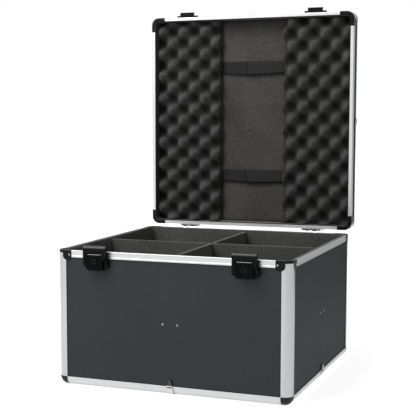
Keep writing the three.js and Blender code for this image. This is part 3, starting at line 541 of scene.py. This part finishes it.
# The clip straps stand proud of the rails that they clasp
def isClip(centre, isLid):
    along, height = shellPlace(centre, isLid)
    rounding = railLook["rounding"]
    inward = min(halfWidth - abs(centre.x), halfDepth - abs(along))
    proud = math.hypot(rounding - inward, max(0, rounding - height)) - rounding
    return proud > railLook["skin"] and min(abs(centre.x), abs(along)) < railLook["clipReach"]


def railFinish(centre, isLid, plain, stud, clip):
    if isStud(centre, isLid):
        return stud
    return clip if isClip(centre, isLid) else plain


# Along the hinges the lid's rim takes a lighter copy of the aluminium, painted light
def rimFinish(centre, isLid):
    return 4 if isLid and centre.z < railLook["hingeRunTop"] else runOf(centre, isLid)


def finishRails():
    x, y, z = finishes["railX"], finishes["railY"], finishes["railZ"]
    shadedStudSteel, clipSteel, litStudSteel = finishes["studSteelShaded"], finishes["clipSteel"], finishes["screwSteelAndLitStuds"]
    edge = railLook["easedEdge"]
    for node in sorted(nodes):
        isLid = node.startswith("lid_")
        if node.endswith("_corner_rail"):
            easedCopy(node, node + "_post", finishes["post"], edge)
        elif node.endswith("_bottom_rail"):
            across = boardIsAcross(node)
            # The bottom rails take the darker foot copies, painted shade
            foot = finishes["footX" if across else "footY"]
            looks = (foot, shadedStudSteel if across else litStudSteel, clipSteel)
            run = easedCopy(node, node + "_run", looks, edge)
            paintFaces(run, lambda centre, normal: railFinish(centre, False, 0, 1, 2))
        elif node.endswith("_frame"):
            looks = (x if isLid else finishes["rimXShaded"], z if isLid else y, shadedStudSteel, clipSteel,
                     finishes["hingeRailLit"])
            hoop = easedCopy(node, node + "_hoop", looks, edge)
            if node == "lid_edge_frame":
                paintFaces(hoop, lambda centre, normal: railFinish(centre, True, runOf(centre, True), 2, 3))
            else:
                paintFaces(hoop, lambda centre, normal: rimFinish(centre, isLid))


finishRails()
print("rails finished")


# Corners, latches, hinges

hardLook = {"capEdge": 0.6 * mm, "ballEdge": 0.3 * mm, "latchEdge": 0.5 * mm, "leafEdge": 0.3 * mm,
            "hookCapFoot": 268.8 * mm, "topFace": 0.8}

for node in sorted(nodes):
    if node.endswith("_rim_corner"):
        cap = easedCopy(node, node + "_cap", (finishes["rimMoulding"], finishes["rimTopLit"]),
                        hardLook["capEdge"], 3)
        if node.startswith("base_"):
            # Painted light: the base caps' upward faces take the lighter copy
            paintFaces(cap, lambda centre, normal: 1 if normal.z > hardLook["topFace"] else 0)
    elif node.endswith("_ball_corner"):
        easedCopy(node, node + "_shell", finishes["moulding"], hardLook["ballEdge"], 2, 40)
    elif node.endswith("_leaf"):
        easedCopy(node, node + "_plate", finishes["hingeSteel"], hardLook["leafEdge"])
    elif node.endswith("_lock"):
        easedCopy(node, node + "_barrel", finishes["lockCoreAndSlitShade"], hardLook["leafEdge"])
    elif node.endswith("_lever"):
        easedCopy(node, node + "_handle", finishes["leverMouldingAndStrapShadow"], hardLook["latchEdge"], 3)
    elif node.endswith("_hook"):
        hook = easedCopy(node, node + "_cap", (finishes["bodyMoulding"], finishes["capMoulding"]),
                         hardLook["latchEdge"], 3)
        paintFaces(hook, lambda centre, normal: 1 if centre.z > hardLook["hookCapFoot"] else 0)
    elif node.startswith("latch_"):
        easedCopy(node, node + "_moulding", finishes["bodyMoulding"], hardLook["latchEdge"], 3)
print("corners, latches and hinges finished")


# Foam strips

foamShape = {"peak": 37 * mm, "valley": 14 * mm, "step": 2.4 * mm, "bump": 0.5 * mm, "bumpsPerMetre": 120,
             "seat": 8.8 * mm, "sideGap": 0.2 * mm, "swellPower": 1.05, "reachShare": 0.985}
foamGrids = {"left": {"pitch": (54 * mm, 52 * mm), "peak": (-4 * mm, 3 * mm)},
             "right": {"pitch": (51 * mm, 55 * mm), "peak": (-4.5 * mm, 6 * mm)}}


def foamLift(x, y, grid):
    wave = math.cos(2 * math.pi * (x - grid["peak"][0]) / grid["pitch"][0])
    wave *= math.cos(2 * math.pi * (y - grid["peak"][1]) / grid["pitch"][1])
    swell = ((1 + wave) / 2) ** foamShape["swellPower"]
    ripple = noise.noise(Vector((x, y, 0.3)) * foamShape["bumpsPerMetre"]) * foamShape["bump"]
    reach = (foamShape["peak"] - foamShape["valley"]) * swell * foamShape["reachShare"]
    return foamShape["valley"] + reach + ripple


# A closed sheet: its under layer of points comes first, then its upper layer, each row by row
def sheetSolid(name, columns, rows, pointAt):
    points = [pointAt(layer, column, row)
              for layer in (0, 1) for row in range(rows + 1) for column in range(columns + 1)]
    wide = columns + 1
    layerSize = wide * (rows + 1)
    faces = []
    for row in range(rows):
        for column in range(columns):
            a = row * wide + column
            faces.append((a, a + wide, a + wide + 1, a + 1))
            faces.append(tuple(layerSize + i for i in (a, a + 1, a + wide + 1, a + wide)))
    border = [c for c in range(columns)] + [columns + r * wide for r in range(rows)]
    border += [layerSize - 1 - c for c in range(columns)] + [(rows - r) * wide for r in range(rows)]
    for a, b in zip(border, border[1:] + border[:1]):
        faces.append((a, b, b + layerSize, a + layerSize))
    return meshFrom(points, faces, name)


def gridSolid(name, spanX, spanY, step, lift, base):
    columns = max(2, round((spanX[1] - spanX[0]) / step))
    rows = max(2, round((spanY[1] - spanY[0]) / step))

    def pointAt(layer, column, row):
        x = spanX[0] + (spanX[1] - spanX[0]) * column / columns
        y = spanY[0] + (spanY[1] - spanY[0]) * row / rows
        return (x, y, lift(x, y) if layer else base)

    return sheetSolid(name, columns, rows, pointAt)


# A lid piece's spans across and up, in the lid's own frame, with a gap left all round
def lidSpans(low, high, gap):
    return (low.x + gap, high.x - gap), (low.z - lidMiddleZ + gap, high.z - lidMiddleZ - gap)


for hand in handSigns:
    spanX, spanY = lidSpans(*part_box(f"lid_{hand}_foam_strip"), foamShape["sideGap"])
    mesh = gridSolid(f"{hand}EggCrateFoam", spanX, spanY, foamShape["step"],
                     lambda x, y: foamShape["seat"] + foamLift(x, y, foamGrids[hand]), foamShape["seat"])
    mesh.transform(lidFrame)
    strip = addObject(f"{hand}EggCrateFoam", mesh, finishes["foam"], "lid")
    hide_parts(f"lid_{hand}_foam_strip")
print("foam strips made")


# Lid centre pad and straps

padShape = {"thick": 9.6 * mm, "crown": 1.6 * mm, "rimDrop": 1.92 * mm, "roll": 14 * mm, "step": 4 * mm,
            "ripple": 0.5 * mm, "ripplesPerMetre": 16, "sideGap": 0.1 * mm}


def padLift(x, y, spanX, spanY):
    inset = min(x - spanX[0], spanX[1] - x, y - spanY[0], spanY[1] - y)
    edge = min(1, max(0, inset) / padShape["roll"])
    rise = math.sqrt(max(0, 1 - (1 - edge) ** 2))
    ripple = noise.noise(Vector((x, y, 1.7)) * padShape["ripplesPerMetre"]) * padShape["ripple"]
    return padShape["thick"] - padShape["rimDrop"] + padShape["crown"] * rise + ripple * rise


low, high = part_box("lid_centre_pad")
padSpanX, padSpanY = lidSpans(low, high, padShape["sideGap"])
padSeat = lidFaceY - high.y
mesh = gridSolid("lidCentrePad", padSpanX, padSpanY, padShape["step"],
                 lambda x, y: padSeat + padLift(x, y, padSpanX, padSpanY), padSeat)
mesh.transform(lidFrame)
centrePad = addObject("lidCentrePad", mesh, finishes["velour"], "lid")
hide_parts("lid_centre_pad")

# The pad's cloth runs forward over the lid's lower wall, between the foam strips
apron = {"half": 74 * mm, "front": 262.6 * mm, "back": 290 * mm, "foot": 284.85 * mm, "thick": 0.9 * mm,
         "ripple": 0.3 * mm, "ripplesPerMetre": 40, "step": 3 * mm}


def apronLift(x, y):
    ripple = noise.noise(Vector((x, y, 2.1)) * apron["ripplesPerMetre"]) * apron["ripple"]
    return apron["foot"] + apron["thick"] + ripple


mesh = gridSolid("padApron", (-apron["half"], apron["half"]), (apron["front"], apron["back"]), apron["step"],
                 apronLift, apron["foot"])
addObject("padApron", mesh, finishes["velour"], "lid")

strapShape = {"width": 28 * mm, "thick": 1.3 * mm, "lapGap": 0.25 * mm, "lapEnd": 34 * mm, "end": 75.5 * mm,
              "standOff": 4.5 * mm, "sag": 2.2 * mm, "seat": 19.0 * mm, "edgeRadius": 0.9 * mm,
              "spacing": 250 * mm, "archPower": 0.7, "topSagShare": 0.85, "topLiftShare": 0.3}


def ribbon(name, spanX, lift, sag, columns=48, rows=8):
    half = strapShape["width"] / 2

    def pointAt(layer, column, row):
        x = spanX[0] + (spanX[1] - spanX[0]) * column / columns
        across = row / rows
        y = -half + 2 * half * across - sag(x) * (1 - strapShape["topSagShare"] * across)
        return (x, y, lift(x, across) + layer * strapShape["thick"])

    return sheetSolid(name, columns, rows, pointAt)


def strapArch(x):
    end = strapShape["end"]
    return math.cos(math.pi * max(-end, min(end, x)) / (2 * end)) ** strapShape["archPower"]


def underLift(x, across):
    lift = strapShape["standOff"] * strapArch(x) * (1 - strapShape["topLiftShare"] * across)
    return strapShape["seat"] + lift


def overLift(x, across):
    return underLift(x, across) + strapShape["thick"] + strapShape["lapGap"]


def strapSag(x):
    return strapShape["sag"] * strapArch(x) ** 2


def makeStrap(place, centreY):
    end = strapShape["end"]
    under = ribbon(place + "StrapUnder", (-end, strapShape["lapEnd"]), underLift, strapSag)
    over = ribbon(place + "StrapOver", (strapLapStart, end), overLift, strapSag)
    # A dark tube under the lower edge of each upper band is a painted shadow line
    lower = -strapShape["width"] / 2
    edge = [Vector((x, lower - strapSag(x), overLift(x, 0) + strapShape["thick"] / 2))
            for x in np.linspace(strapLapStart, end, 40)]
    shadowLine = tubeAlong(place + "StrapShadowLine", edge, strapShape["edgeRadius"])
    for mesh, finish, kind in ((under, "hookTape", "StrapUnder"), (over, "webbing", "StrapOver"),
                               (shadowLine, "leverMouldingAndStrapShadow", "StrapShadowLine")):
        mesh.transform(lidFrame @ Matrix.Translation((0, centreY, 0)))
        band = addObject(place + kind, mesh, finishes[finish], "lid")
        if kind == "StrapOver":
            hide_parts(f"lid_{place}_strap")


makeStrap("front", strapShape["spacing"] / 2)
makeStrap("back", -strapShape["spacing"] / 2)
print("pad and straps made")


# Felt linings and dividers

linerShape = {"wall": 2.4 * mm, "lidWall": 1.15 * mm, "cornerRadius": 9 * mm, "floorRadius": 5 * mm,
              "step": 9 * mm, "lipSteps": 6, "coveSteps": 5, "innerShare": 0.99, "wave": 0.9 * mm,
              "wavesPerMetre": 9, "dividerEdge": 1.8 * mm}


def roundedLoop(halfX, halfY, radius, steps=6):
    loop = []
    for cx, cy, start in ((1, 1, 0), (-1, 1, 90), (-1, -1, 180), (1, -1, 270)):
        for k in range(steps + 1):
            angle = math.radians(start + 90 * k / steps)
            loop.append((cx * (halfX - radius) + radius * math.cos(angle),
                         cy * (halfY - radius) + radius * math.sin(angle)))
    return loop


def subdivideLoop(loop, step):
    out = []
    for (ax, ay), (bx, by) in zip(loop, loop[1:] + loop[:1]):
        count = max(1, round(math.hypot(bx - ax, by - ay) / step))
        out += [(ax + (bx - ax) * k / count, ay + (by - ay) * k / count) for k in range(count)]
    return out


# Rings run from the outer foot, up over the rolled top edge, down inside, and across the floor
def linerTub(name, half, base, top, wall, wave):
    step, radius, floorRadius = linerShape["step"], linerShape["cornerRadius"], linerShape["floorRadius"]
    lipSteps, coveSteps = linerShape["lipSteps"], linerShape["coveSteps"]
    profile = [(0, base), (0, top - wall / 2)]
    for k in range(1, lipSteps + 1):
        angle = math.pi * k / lipSteps
        profile.append((wall / 2 - wall / 2 * math.cos(angle), top - wall / 2 + wall / 2 * math.sin(angle)))
    depth = top - base - wall - floorRadius - wall / 2
    rings = max(2, round(depth / step))
    profile += [(wall, top - wall / 2 - depth * k / rings) for k in range(1, rings + 1)]
    for k in range(1, coveSteps + 1):
        angle = math.pi / 2 * k / coveSteps
        profile.append((wall + floorRadius * (1 - math.cos(angle)),
                        base + wall + floorRadius * (1 - math.sin(angle))))
    points, faces = [], []
    loop = subdivideLoop(roundedLoop(half[0], half[1], radius), step)
    count = len(loop)
    for inset, z in profile:
        fx, fy = (half[0] - inset) / half[0], (half[1] - inset) / half[1]
        for x, y in loop:
            isInner = inset >= wall * linerShape["innerShare"] and z > base + wall + floorRadius
            push = wave(x, y, z) if isInner else 0
            length = math.hypot(x, y)
            points.append((x * fx - x / length * push, y * fy - y / length * push, z))
    for ring in range(len(profile) - 1):
        for k in range(count):
            nxt = (k + 1) % count
            a = ring * count
            faces.append((a + k, a + nxt, a + count + nxt, a + count + k))
    faces.append(tuple(range(count - 1, -1, -1)))
    last = (len(profile) - 1) * count
    faces.append(tuple(range(last, last + count)))
    return meshFrom(points, faces, name)


def feltWave(x, y, z):
    return max(0, noise.noise(Vector((x, y, z)) * linerShape["wavesPerMetre"])) * linerShape["wave"]


low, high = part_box("base_liner")
mesh = linerTub("baseFeltLining", (high.x, high.y), low.z, high.z, linerShape["wall"], feltWave)
baseLining = addObject("baseFeltLining", mesh, finishes["felt"], "base")
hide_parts("base_liner")

low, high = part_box("lid_liner")
mesh = linerTub("lidFeltLining", (high.x, high.z - lidMiddleZ), lidFaceY - high.y, lidFaceY - low.y,
                linerShape["lidWall"], lambda x, y, z: 0)
mesh.transform(lidFrame)
lidLining = addObject("lidFeltLining", mesh, finishes["lidFelt"], "lid")
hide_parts("lid_liner")

for node in ("divider_left_right", "divider_front_back"):
    easedCopy(node, node + "_board", finishes["felt"], linerShape["dividerEdge"], 4)
print("linings and dividers made")


# Rivets and screws

# A fixing is a dome on a short skirt that reaches into what it holds
fixingLook = {"skirt": 1.2 * mm, "crossDepthShare": 0.5, "crossReachShare": 0.62, "crossWidthShare": 0.2}


def crossHead(mesh, radius, depth):
    shape = bmesh.new()
    shape.from_mesh(mesh)
    for vert in shape.verts:
        flat = max(abs(vert.co.x), abs(vert.co.y))
        thin = min(abs(vert.co.x), abs(vert.co.y))
        if flat < radius * fixingLook["crossReachShare"] and thin < radius * fixingLook["crossWidthShare"]:
            vert.co.z -= depth
    shape.to_mesh(mesh)
    shape.free()


def fixingSet(name, finish, body, places, look, cross=False):
    radius, height = look["radius"], look["height"]
    meshes = []
    for k, (position, direction) in enumerate(places):
        mesh = domeMesh(f"{name}{k}", radius, height, 6, 24, min(radius / 2, fixingLook["skirt"]))
        if cross:
            crossHead(mesh, radius, height * fixingLook["crossDepthShare"])
        meshes.append(placeAt(mesh, position, direction))
    addObject(name, mergeMeshes(name, meshes), finishes[finish], body)


# Two rivets hold each rim corner, one on each of its wings
rivets = {"radius": 1.8 * mm, "height": 1.0 * mm, "alongFront": 212.5 * mm, "outFront": 243.1 * mm,
          "alongSide": 215 * mm, "outSide": 240.6 * mm, "baseZ": 262 * mm, "lidY": 268.5 * mm}
baseRivets, lidRivets = [], []
for sx in (-1, 1):
    for sy in (-1, 1):
        for x, y, onFront in ((rivets["alongFront"], rivets["outFront"], True),
                              (rivets["outSide"], rivets["alongSide"], False)):
            baseRivets.append(((sx * x, sy * y, rivets["baseZ"]), (0, sy, 0) if onFront else (sx, 0, 0)))
            lidRivets.append(((sx * x, rivets["lidY"], lidMiddleZ + sy * y),
                              (0, 0, sy) if onFront else (sx, 0, 0)))
fixingSet("baseCornerRivets", "screwSteelAndLitStuds", "base", baseRivets, rivets)
fixingSet("lidCornerRivets", "screwSteelAndLitStuds", "lid", lidRivets, rivets)

hingeFixings = {"radius": 2.2 * mm, "height": 1.0 * mm, "centreX": 147.5 * mm, "pitch": 13 * mm,
                "baseY": 244.5 * mm, "baseZ": 239.5 * mm, "lidY": 277.5 * mm, "lidZ": 274.5 * mm}
hingeScrews = {"base": [], "lid": []}
for sx in (-1, 1):
    for step in (-1, 0, 1):
        x = sx * hingeFixings["centreX"] + step * hingeFixings["pitch"]
        hingeScrews["base"].append(((x, hingeFixings["baseY"], hingeFixings["baseZ"]), (0, 1, 0)))
        hingeScrews["lid"].append(((x, hingeFixings["lidY"], hingeFixings["lidZ"]), (0, 0, -1)))
for body, places in hingeScrews.items():
    fixingSet(body + "HingeScrews", "blackSteel", body, places, hingeFixings, True)

# Two screws through each side board hold the end of a divider
dividerFixings = {"radius": 2.4 * mm, "height": 1.5 * mm, "aside": 15 * mm, "outFront": 241 * mm,
                  "outSide": 238.5 * mm, "z": 136 * mm}
boardScrews = []
for side in (-1, 1):
    aside = side * dividerFixings["aside"]
    front, flank, height = dividerFixings["outFront"], dividerFixings["outSide"], dividerFixings["z"]
    boardScrews += [((aside, -front, height), (0, -1, 0)), ((aside, front, height), (0, 1, 0)),
                    ((flank, aside, height), (1, 0, 0)), ((-flank, aside, height), (-1, 0, 0))]
fixingSet("dividerScrews", "screwGreyAndLedgeHighlight", "base", boardScrews, dividerFixings, True)

# Cross-headed caps on the studs of the clips
studs = {"radius": 5.5 * mm, "height": 1.75 * mm, "outFront": 244.05 * mm, "outSide": 241.55 * mm,
         "baseZ": 22.5 * mm, "lidY": 287.5 * mm}
baseStuds, lidStuds = {"front": [], "side": []}, {"front": [], "side": []}
for sign in (-1, 1):
    front, side = sign * studs["outFront"], sign * studs["outSide"]
    baseStuds["front"].append(((0, front, studs["baseZ"]), (0, sign, 0)))
    baseStuds["side"].append(((side, 0, studs["baseZ"]), (sign, 0, 0)))
    lidStuds["front"].append(((0, studs["lidY"], lidMiddleZ + front), (0, 0, sign)))
    lidStuds["side"].append(((side, studs["lidY"], lidMiddleZ), (sign, 0, 0)))
for body, sets in (("base", baseStuds), ("lid", lidStuds)):
    # Side studs take the lighter copy, painted light, and front and back studs the darker one, painted shade
    for kind, finish in (("front", "studSteelShaded"), ("side", "screwSteelAndLitStuds")):
        fixingSet(body + kind.capitalize() + "Studs", finish, body, sets[kind], studs, True)
print("fixings made")


# Clip slots and hinge slits, drawn in painted shade

# Each clip has a pressed slot drawn in painted shadow, with a bright lip above it, and a painted
# shadow along its side edge that follows the rounding of the rail
clipTrim = {"slotHeight": 15.3 * mm, "slotHalf": 5.6 * mm, "slotRadius": 0.95 * mm, "slotProud": 0.75 * mm,
            "lipHeight": 18.3 * mm, "lipRadius": 0.8 * mm, "lipProud": 0.1 * mm, "edgeAlong": 6.9 * mm,
            "edgeRadius": 0.4 * mm, "edgeProud": 0.45 * mm, "edgeRise": 3.2 * mm, "edgeSweep": 80}
# Dark tubes of painted shade stand for the slits and dots beside the knuckles, in places that the photograph
# gives
slitShadeTrim = {"slots": ((-165, -123.3), (127.5, 171.5)), "dots": ((-121, -118.5), (174.5, 177.5)),
            "y": 257.7 * mm, "slotZ": 274.1 * mm, "dotZ": 275.3 * mm, "radius": 1.25 * mm}


def clipEdgePath(steps=14):
    rounding = railLook["rounding"]
    reach = rounding + clipTrim["edgeProud"]
    top = clipTrim["slotHeight"] + clipTrim["edgeRise"]
    path = [Vector((clipTrim["edgeAlong"], rounding - reach, top))]
    for k in range(steps + 1):
        angle = math.radians(clipTrim["edgeSweep"] * k / steps)
        path.append(Vector((clipTrim["edgeAlong"], rounding - reach * math.cos(angle),
                            rounding - reach * math.sin(angle))))
    return path


def acrossClip(kind):
    return [Vector((clipTrim["slotHalf"] * share, -clipTrim[kind + "Proud"], clipTrim[kind + "Height"]))
            for share in (-1, 0, 1)]


def clipDetail(body, frameOfBody):
    meshes, lips = [], []
    for side in range(4):
        half = halfWidth if side % 2 else halfDepth
        turn = Matrix.Rotation(side * math.pi / 2, 4, "Z")
        place = frameOfBody @ turn @ Matrix.Translation((0, -half, 0))
        for path, radius, group in ((acrossClip("slot"), clipTrim["slotRadius"], meshes),
                                    (clipEdgePath(), clipTrim["edgeRadius"], meshes),
                                    (acrossClip("lip"), clipTrim["lipRadius"], lips)):
            mesh = tubeAlong("clipTube", path, radius)
            mesh.transform(place)
            group.append(mesh)
    for name, group, finish, slot in ((body + "ClipLips", lips, "clipSteel", "aluminium_rail"),
                                      (body + "ClipDetail", meshes, "clipShadow", "black_steel")):
        addObject(name, mergeMeshes(name, group), finishes[finish], body)


clipDetail("base", Matrix.Translation((0, 0, footZ)))
clipDetail("lid", lidFrame)

slitShades = []
for spans, height in ((slitShadeTrim["slots"], slitShadeTrim["slotZ"]), (slitShadeTrim["dots"], slitShadeTrim["dotZ"])):
    for start, stop in spans:
        path = [Vector((x * mm, slitShadeTrim["y"], height)) for x in (start, (start + stop) / 2, stop)]
        slitShades.append(tubeAlong("slitShade", path, slitShadeTrim["radius"]))
hingeSlitShade = addObject("hingeSlitShade", mergeMeshes("hingeSlitShade", slitShades), finishes["lockCoreAndSlitShade"], "lid")
print("clip slots and hinge slits made")


# Latch trim

# A ledge with a painted highlight runs across the top of each lever, turned up at both ends, and each lock
# has a plated ring.
# The lever's knuckle is round about its pivot, and the ledge is sunk into it
latchTrim = {"centreX": 152.5 * mm, "pivotY": -250.8 * mm, "pivotZ": 263.0 * mm, "knuckle": 5.7 * mm,
             "ledgeHalf": 16 * mm, "ledgeRise": 1.5 * mm, "ledgeZ": 266.4 * mm, "ledgeRadius": 1.1 * mm,
             "ledgeProud": 0.2 * mm, "straightShare": 0.78, "risePower": 1.5, "ringRadius": 4.3 * mm,
             "ringTube": 0.45 * mm, "lockY": -256.85 * mm, "lockZ": 252.5 * mm}


def ledgePath(centreX, steps=36):
    half, pivotZ, knuckle = latchTrim["ledgeHalf"], latchTrim["pivotZ"], latchTrim["knuckle"]
    sunk = 1 - (latchTrim["ledgeRadius"] - latchTrim["ledgeProud"]) / knuckle
    straight = latchTrim["straightShare"]
    path = []
    for k in range(steps + 1):
        x = half * (2 * k / steps - 1)
        reach = max(0, abs(x) / half - straight) / (1 - straight)
        z = latchTrim["ledgeZ"] + latchTrim["ledgeRise"] * reach ** latchTrim["risePower"]
        out = math.sqrt(knuckle ** 2 - (z - pivotZ) ** 2)
        path.append(Vector((centreX + x, latchTrim["pivotY"] - out * sunk, pivotZ + (z - pivotZ) * sunk)))
    return path


def ringPath(centreX, steps=40):
    turns = [2 * math.pi * k / steps for k in range(steps)]
    return [Vector((centreX + latchTrim["ringRadius"] * math.cos(a), latchTrim["lockY"],
                    latchTrim["lockZ"] + latchTrim["ringRadius"] * math.sin(a))) for a in turns]


for hand, sign in handSigns.items():
    centreX = sign * latchTrim["centreX"]
    ledge = tubeAlong(hand + "LeverHighlightLedge", ledgePath(centreX), latchTrim["ledgeRadius"])
    addObject(hand + "LeverHighlightLedge", ledge, finishes["screwGreyAndLedgeHighlight"], hand + "_lever")
    ring = tubeAlong(hand + "LockRing", ringPath(centreX), latchTrim["ringTube"], 12, True)
    addObject(hand + "LockRing", ring, finishes["lockMetal"], hand + "_lock")
print("latch trim made")


# Studio

studio = {"ambient": 0.27, "floorTone": 0.75, "floorHalf": 14.0, "floorZ": -1.52 * mm, "floorLift": 0.8,
          "farLift": 1.0, "liftStart": 0.6, "liftEnd": 2.4}
softboxes = {"keySoftbox": {"place": (-1.6, -2.4, 1.9), "target": (0, 0, 0.25), "size": (1.6, 1.6),
                            "power": 32},
             "topSoftbox": {"place": (-0.7, -1.0, 2.1), "target": (0, 0, 0.2), "size": (1.0, 1.0),
                            "power": 34}}
cards = {"sideCard": {"x": (0.3, 2.2), "y": 0.95, "top": 1.3, "level": 0.48},
         "leftCard": {"x": (-3.2, -0.6), "y": 2.4, "top": 2.8, "level": 0.42}}
view = {"place": (0.7463, -2.1400, 0.5411), "turn": (84.117, 0.2076, 22.4467), "lens": 93.552,
        "shift": (0.13789, 0.03802), "sensor": 36, "clipEnd": 100}


def seenOrReflected(tree):
    path = addNode(tree, "ShaderNodeLightPath")
    seen = path.outputs["Is Camera Ray"]
    for name in ("Is Glossy Ray", "Is Transmission Ray"):
        either = addNode(tree, "ShaderNodeMath", {"operation": "MAXIMUM"})
        tree.links.new(seen, either.inputs[0])
        tree.links.new(path.outputs[name], either.inputs[1])
        seen = either.outputs[0]
    return seen


def addStage(name, corners, material):
    mesh = meshFrom(corners, [(0, 1, 2, 3)], name)
    mesh.materials.append(material)
    sheet = bpy.data.objects.new(name, mesh)
    bpy.context.scene.collection.objects.link(sheet)
    return sheet


def makeFloor():
    material, tree, shader = newMaterial("studioFloor")
    setShader(shader, Roughness=0.8, Base_Color=grey(studio["floorTone"]), Specular_IOR_Level=0.1,
              Emission_Color=grey(1))
    away = addNode(tree, "ShaderNodeVectorMath", {"operation": "LENGTH"})
    tree.links.new(placeCoords(tree), away.inputs[0])
    lift = remap(tree, away.outputs["Value"], studio["liftStart"], studio["liftEnd"],
                 studio["floorLift"], studio["farLift"])
    seen = addNode(tree, "ShaderNodeMath", {"operation": "MULTIPLY"})
    tree.links.new(lift, seen.inputs[0])
    tree.links.new(seenOrReflected(tree), seen.inputs[1])
    tree.links.new(seen.outputs[0], shader.inputs["Emission Strength"])
    half = studio["floorHalf"]
    corners = [(x * half, y * half, studio["floorZ"]) for x, y in ((-1, -1), (1, -1), (1, 1), (-1, 1))]
    addStage("studioFloor", corners, material)


def makeWorld():
    world = bpy.data.worlds.new("studioWorld")
    bpy.context.scene.world = world
    world.use_nodes = True
    tree = world.node_tree
    tree.nodes["Background"].inputs["Color"].default_value = grey(1)
    strength = remap(tree, seenOrReflected(tree), 0, 1, studio["ambient"], 1.0)
    tree.links.new(strength, tree.nodes["Background"].inputs["Strength"])


# A card is seen in the rails' reflections alone: it throws no shadow
def addCard(name, card):
    material, tree, shader = newMaterial(name)
    setShader(shader, Base_Color=grey(0), Roughness=1, Specular_IOR_Level=0, Emission_Color=grey(1),
              Emission_Strength=card["level"])
    (left, right), y, top = card["x"], card["y"], card["top"]
    sheet = addStage(name, [(left, y, 0), (right, y, 0), (right, y, top), (left, y, top)], material)
    sheet.visible_camera = sheet.visible_diffuse = sheet.visible_shadow = False


def addSoftbox(name, box):
    data = bpy.data.lights.new(name, "AREA")
    data.shape = "RECTANGLE"
    data.size, data.size_y = box["size"]
    data.energy = box["power"]
    lamp = bpy.data.objects.new(name, data)
    bpy.context.scene.collection.objects.link(lamp)
    lamp.location = box["place"]
    lamp.rotation_mode = "QUATERNION"
    lamp.rotation_quaternion = (Vector(box["target"]) - Vector(box["place"])).to_track_quat("-Z", "Y")


def addCamera():
    data = bpy.data.cameras.new("photoCamera")
    data.sensor_width = view["sensor"]
    data.sensor_fit = "HORIZONTAL"
    data.lens = view["lens"]
    data.shift_x, data.shift_y = view["shift"]
    data.clip_end = view["clipEnd"]
    camera = bpy.data.objects.new("photoCamera", data)
    bpy.context.scene.collection.objects.link(camera)
    camera.location = view["place"]
    camera.rotation_euler = [math.radians(angle) for angle in view["turn"]]
    bpy.context.scene.camera = camera


makeFloor()
makeWorld()
for name, card in cards.items():
    addCard(name, card)
for name, box in softboxes.items():
    addSoftbox(name, box)
addCamera()
bpy.context.scene.view_settings.view_transform = "Standard"
print("studio set")
